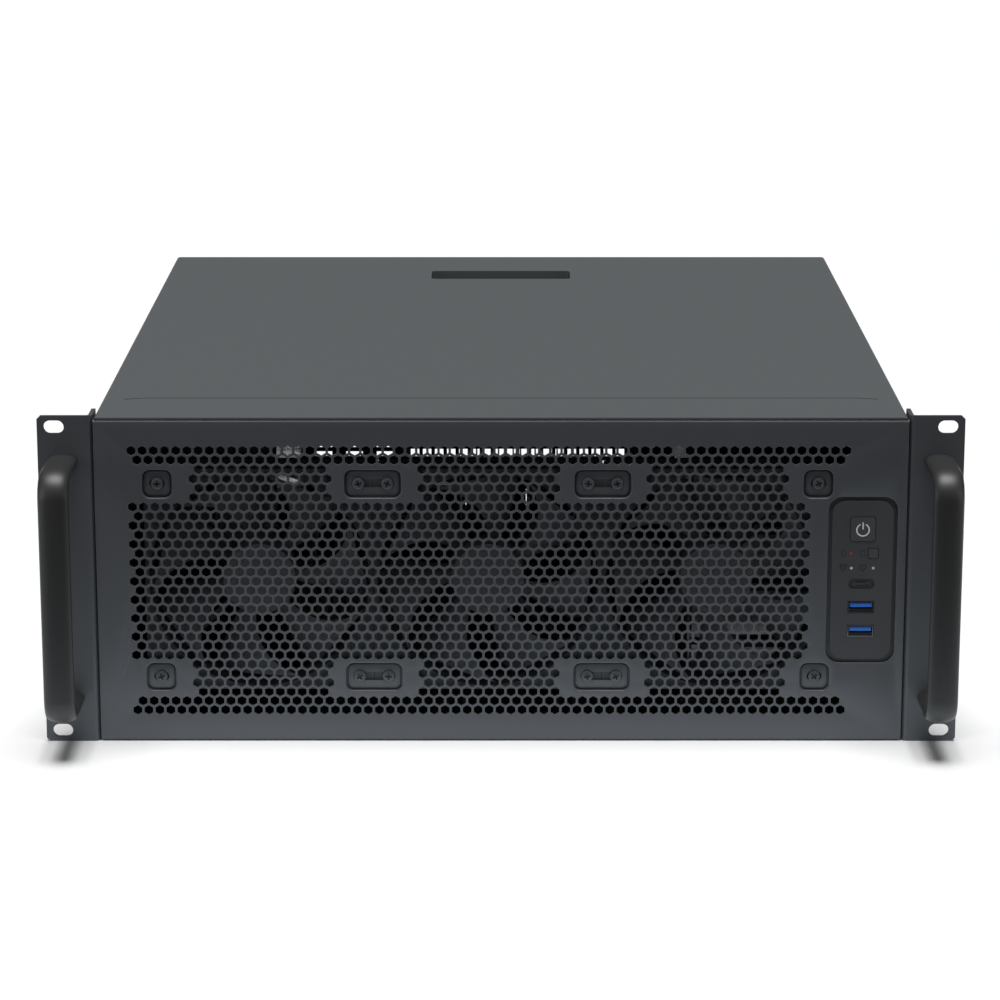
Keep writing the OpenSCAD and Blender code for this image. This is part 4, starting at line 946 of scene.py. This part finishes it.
class SERVER_OT_stage(bpy.types.Operator):
    """Sets the floor, the lamps, the room light and the camera"""
    bl_idname = "server.stage"
    bl_label = "Set the stage"

    def execute(self, context):
        s = context.scene.server_stage
        reach = 60.0
        corners = [(-reach, -reach, 0), (reach, -reach, 0), (reach, reach, 0), (-reach, reach, 0)]
        mesh = bpy.data.meshes.new("floor")
        mesh.from_pydata(corners, [], [(0, 1, 2, 3)])
        ground = bpy.data.objects.new("floor", mesh)
        context.scene.collection.objects.link(ground)
        material = bpy.data.materials.new("pale_floor")
        material.use_nodes = True
        shader = material.node_tree.nodes["Principled BSDF"]
        paint = Tree(material.node_tree)
        paint.place = material.node_tree.nodes.new("ShaderNodeTexCoord").outputs["Object"]
        apart = material.node_tree.nodes.new("ShaderNodeSeparateXYZ")
        paint.join(paint.place, apart.inputs[0])
        # Painted pool of light and painted shade on the floor: for all but camera rays its colour is bright by the
        # case and near black farther out, standing for the lit table in a dark room.
        painted_pool_mask = paint.between(apart.outputs["Y"], -0.44, -0.27, 0.0, 1.0)
        bounce = paint.mixed(painted_pool_mask, (0.02, 0.02, 0.022, 1), (*s.bounce_colour, 1))
        seen = material.node_tree.nodes.new("ShaderNodeLightPath").outputs["Is Camera Ray"]
        paint.join(paint.mixed(seen, bounce, (*s.floor_colour, 1)), shader.inputs["Base Color"])
        shader.inputs["Roughness"].default_value = 0.9
        shader.inputs["Specular IOR Level"].default_value = 0.1
        mesh.materials.append(material)

        world = bpy.data.worlds.new("room")
        context.scene.world = world
        world.use_nodes = True
        build = Tree(world.node_tree)
        light = world.node_tree.nodes["Background"]
        light.inputs["Color"].default_value = (0.95, 0.975, 1.0, 1)
        light.inputs["Strength"].default_value = s.room_light
        white = world.node_tree.nodes.new("ShaderNodeBackground")
        white.inputs["Color"].default_value = (1, 1, 1, 1)
        pick = world.node_tree.nodes.new("ShaderNodeMixShader")
        path = world.node_tree.nodes.new("ShaderNodeLightPath")
        out = world.node_tree.nodes["World Output"]
        build.join(path.outputs["Is Camera Ray"], pick.inputs[0])
        build.join(light.outputs[0], pick.inputs[1])
        build.join(white.outputs[0], pick.inputs[2])
        build.join(pick.outputs[0], out.inputs["Surface"])

        sky = bpy.data.lights.new("overhead", "SUN")
        sky.energy, sky.angle = s.sky_light, radians(35)
        overhead = bpy.data.objects.new("overhead", sky)
        context.scene.collection.objects.link(overhead)
        overhead.rotation_euler = (s.sky_lean, 0, 0)
        for side, power in ((-1, s.side_light), (1, s.side_light * 0.6)):
            self.lamp("side_lamp", (side * 1.1, -0.9, 0.35), (side * 0.2, -0.2, 0.09), (0.35, 0.8), power)

        data = bpy.data.cameras.new("camera")
        data.lens, data.sensor_width = s.lens, 36
        data.clip_start, data.clip_end = 0.05, 60
        camera = bpy.data.objects.new("camera", data)
        context.scene.collection.objects.link(camera)
        camera.location = (-0.0005, -s.camera_back, s.camera_up)
        camera.rotation_euler = (pi / 2 - s.camera_tilt, 0, 0)
        context.scene.camera = camera
        context.scene.view_settings.view_transform = "Standard"
        return {"FINISHED"}

    def lamp(self, name, place, target, size, power):
        data = bpy.data.lights.new(name, "AREA")
        data.shape, data.size, data.size_y, data.energy = "RECTANGLE", size[0], size[1], power
        lamp = bpy.data.objects.new(name, data)
        bpy.context.scene.collection.objects.link(lamp)
        lamp.location = place
        lamp.rotation_euler = (Vector(target) - Vector(place)).to_track_quat("-Z", "Y").to_euler()


OPERATORS = (SERVER_OT_stage, SERVER_OT_paint, SERVER_OT_face, SERVER_OT_screws, SERVER_OT_handles,
             SERVER_OT_marks, SERVER_OT_lights_and_ports, SERVER_OT_board_parts)
SETTINGS = {
    "server_paint": ServerPaintSettings,
    "server_face": ServerFaceSettings,
    "server_handles": ServerHandleSettings,
    "server_board": ServerBoardSettings,
    "server_stage": ServerStageSettings,
}


class SERVER_PT_parts(bpy.types.Panel):
    """Lists the settings and the steps that build the server"""
    bl_idname = "SERVER_PT_parts"
    bl_label = "Rack server"
    bl_space_type = "VIEW_3D"
    bl_region_type = "UI"
    bl_category = "Server"

    def draw(self, context):
        for name, kind in SETTINGS.items():
            box = self.layout.box()
            for label in kind.__annotations__:
                box.prop(getattr(context.scene, name), label)
        for step in OPERATORS:
            self.layout.operator(step.bl_idname)


def register():
    for kind in (*SETTINGS.values(), *OPERATORS, SERVER_PT_parts):
        bpy.utils.register_class(kind)
    for name, kind in SETTINGS.items():
        setattr(bpy.types.Scene, name, PointerProperty(type=kind))


def unregister():
    for name in SETTINGS:
        delattr(bpy.types.Scene, name)
    for kind in (SERVER_PT_parts, *reversed(OPERATORS), *reversed(tuple(SETTINGS.values()))):
        bpy.utils.unregister_class(kind)


def main():
    register()
    for step in OPERATORS:
        group, name = step.bl_idname.split(".")
        getattr(getattr(bpy.ops, group), name)()


if __name__ == "__main__":
    main()
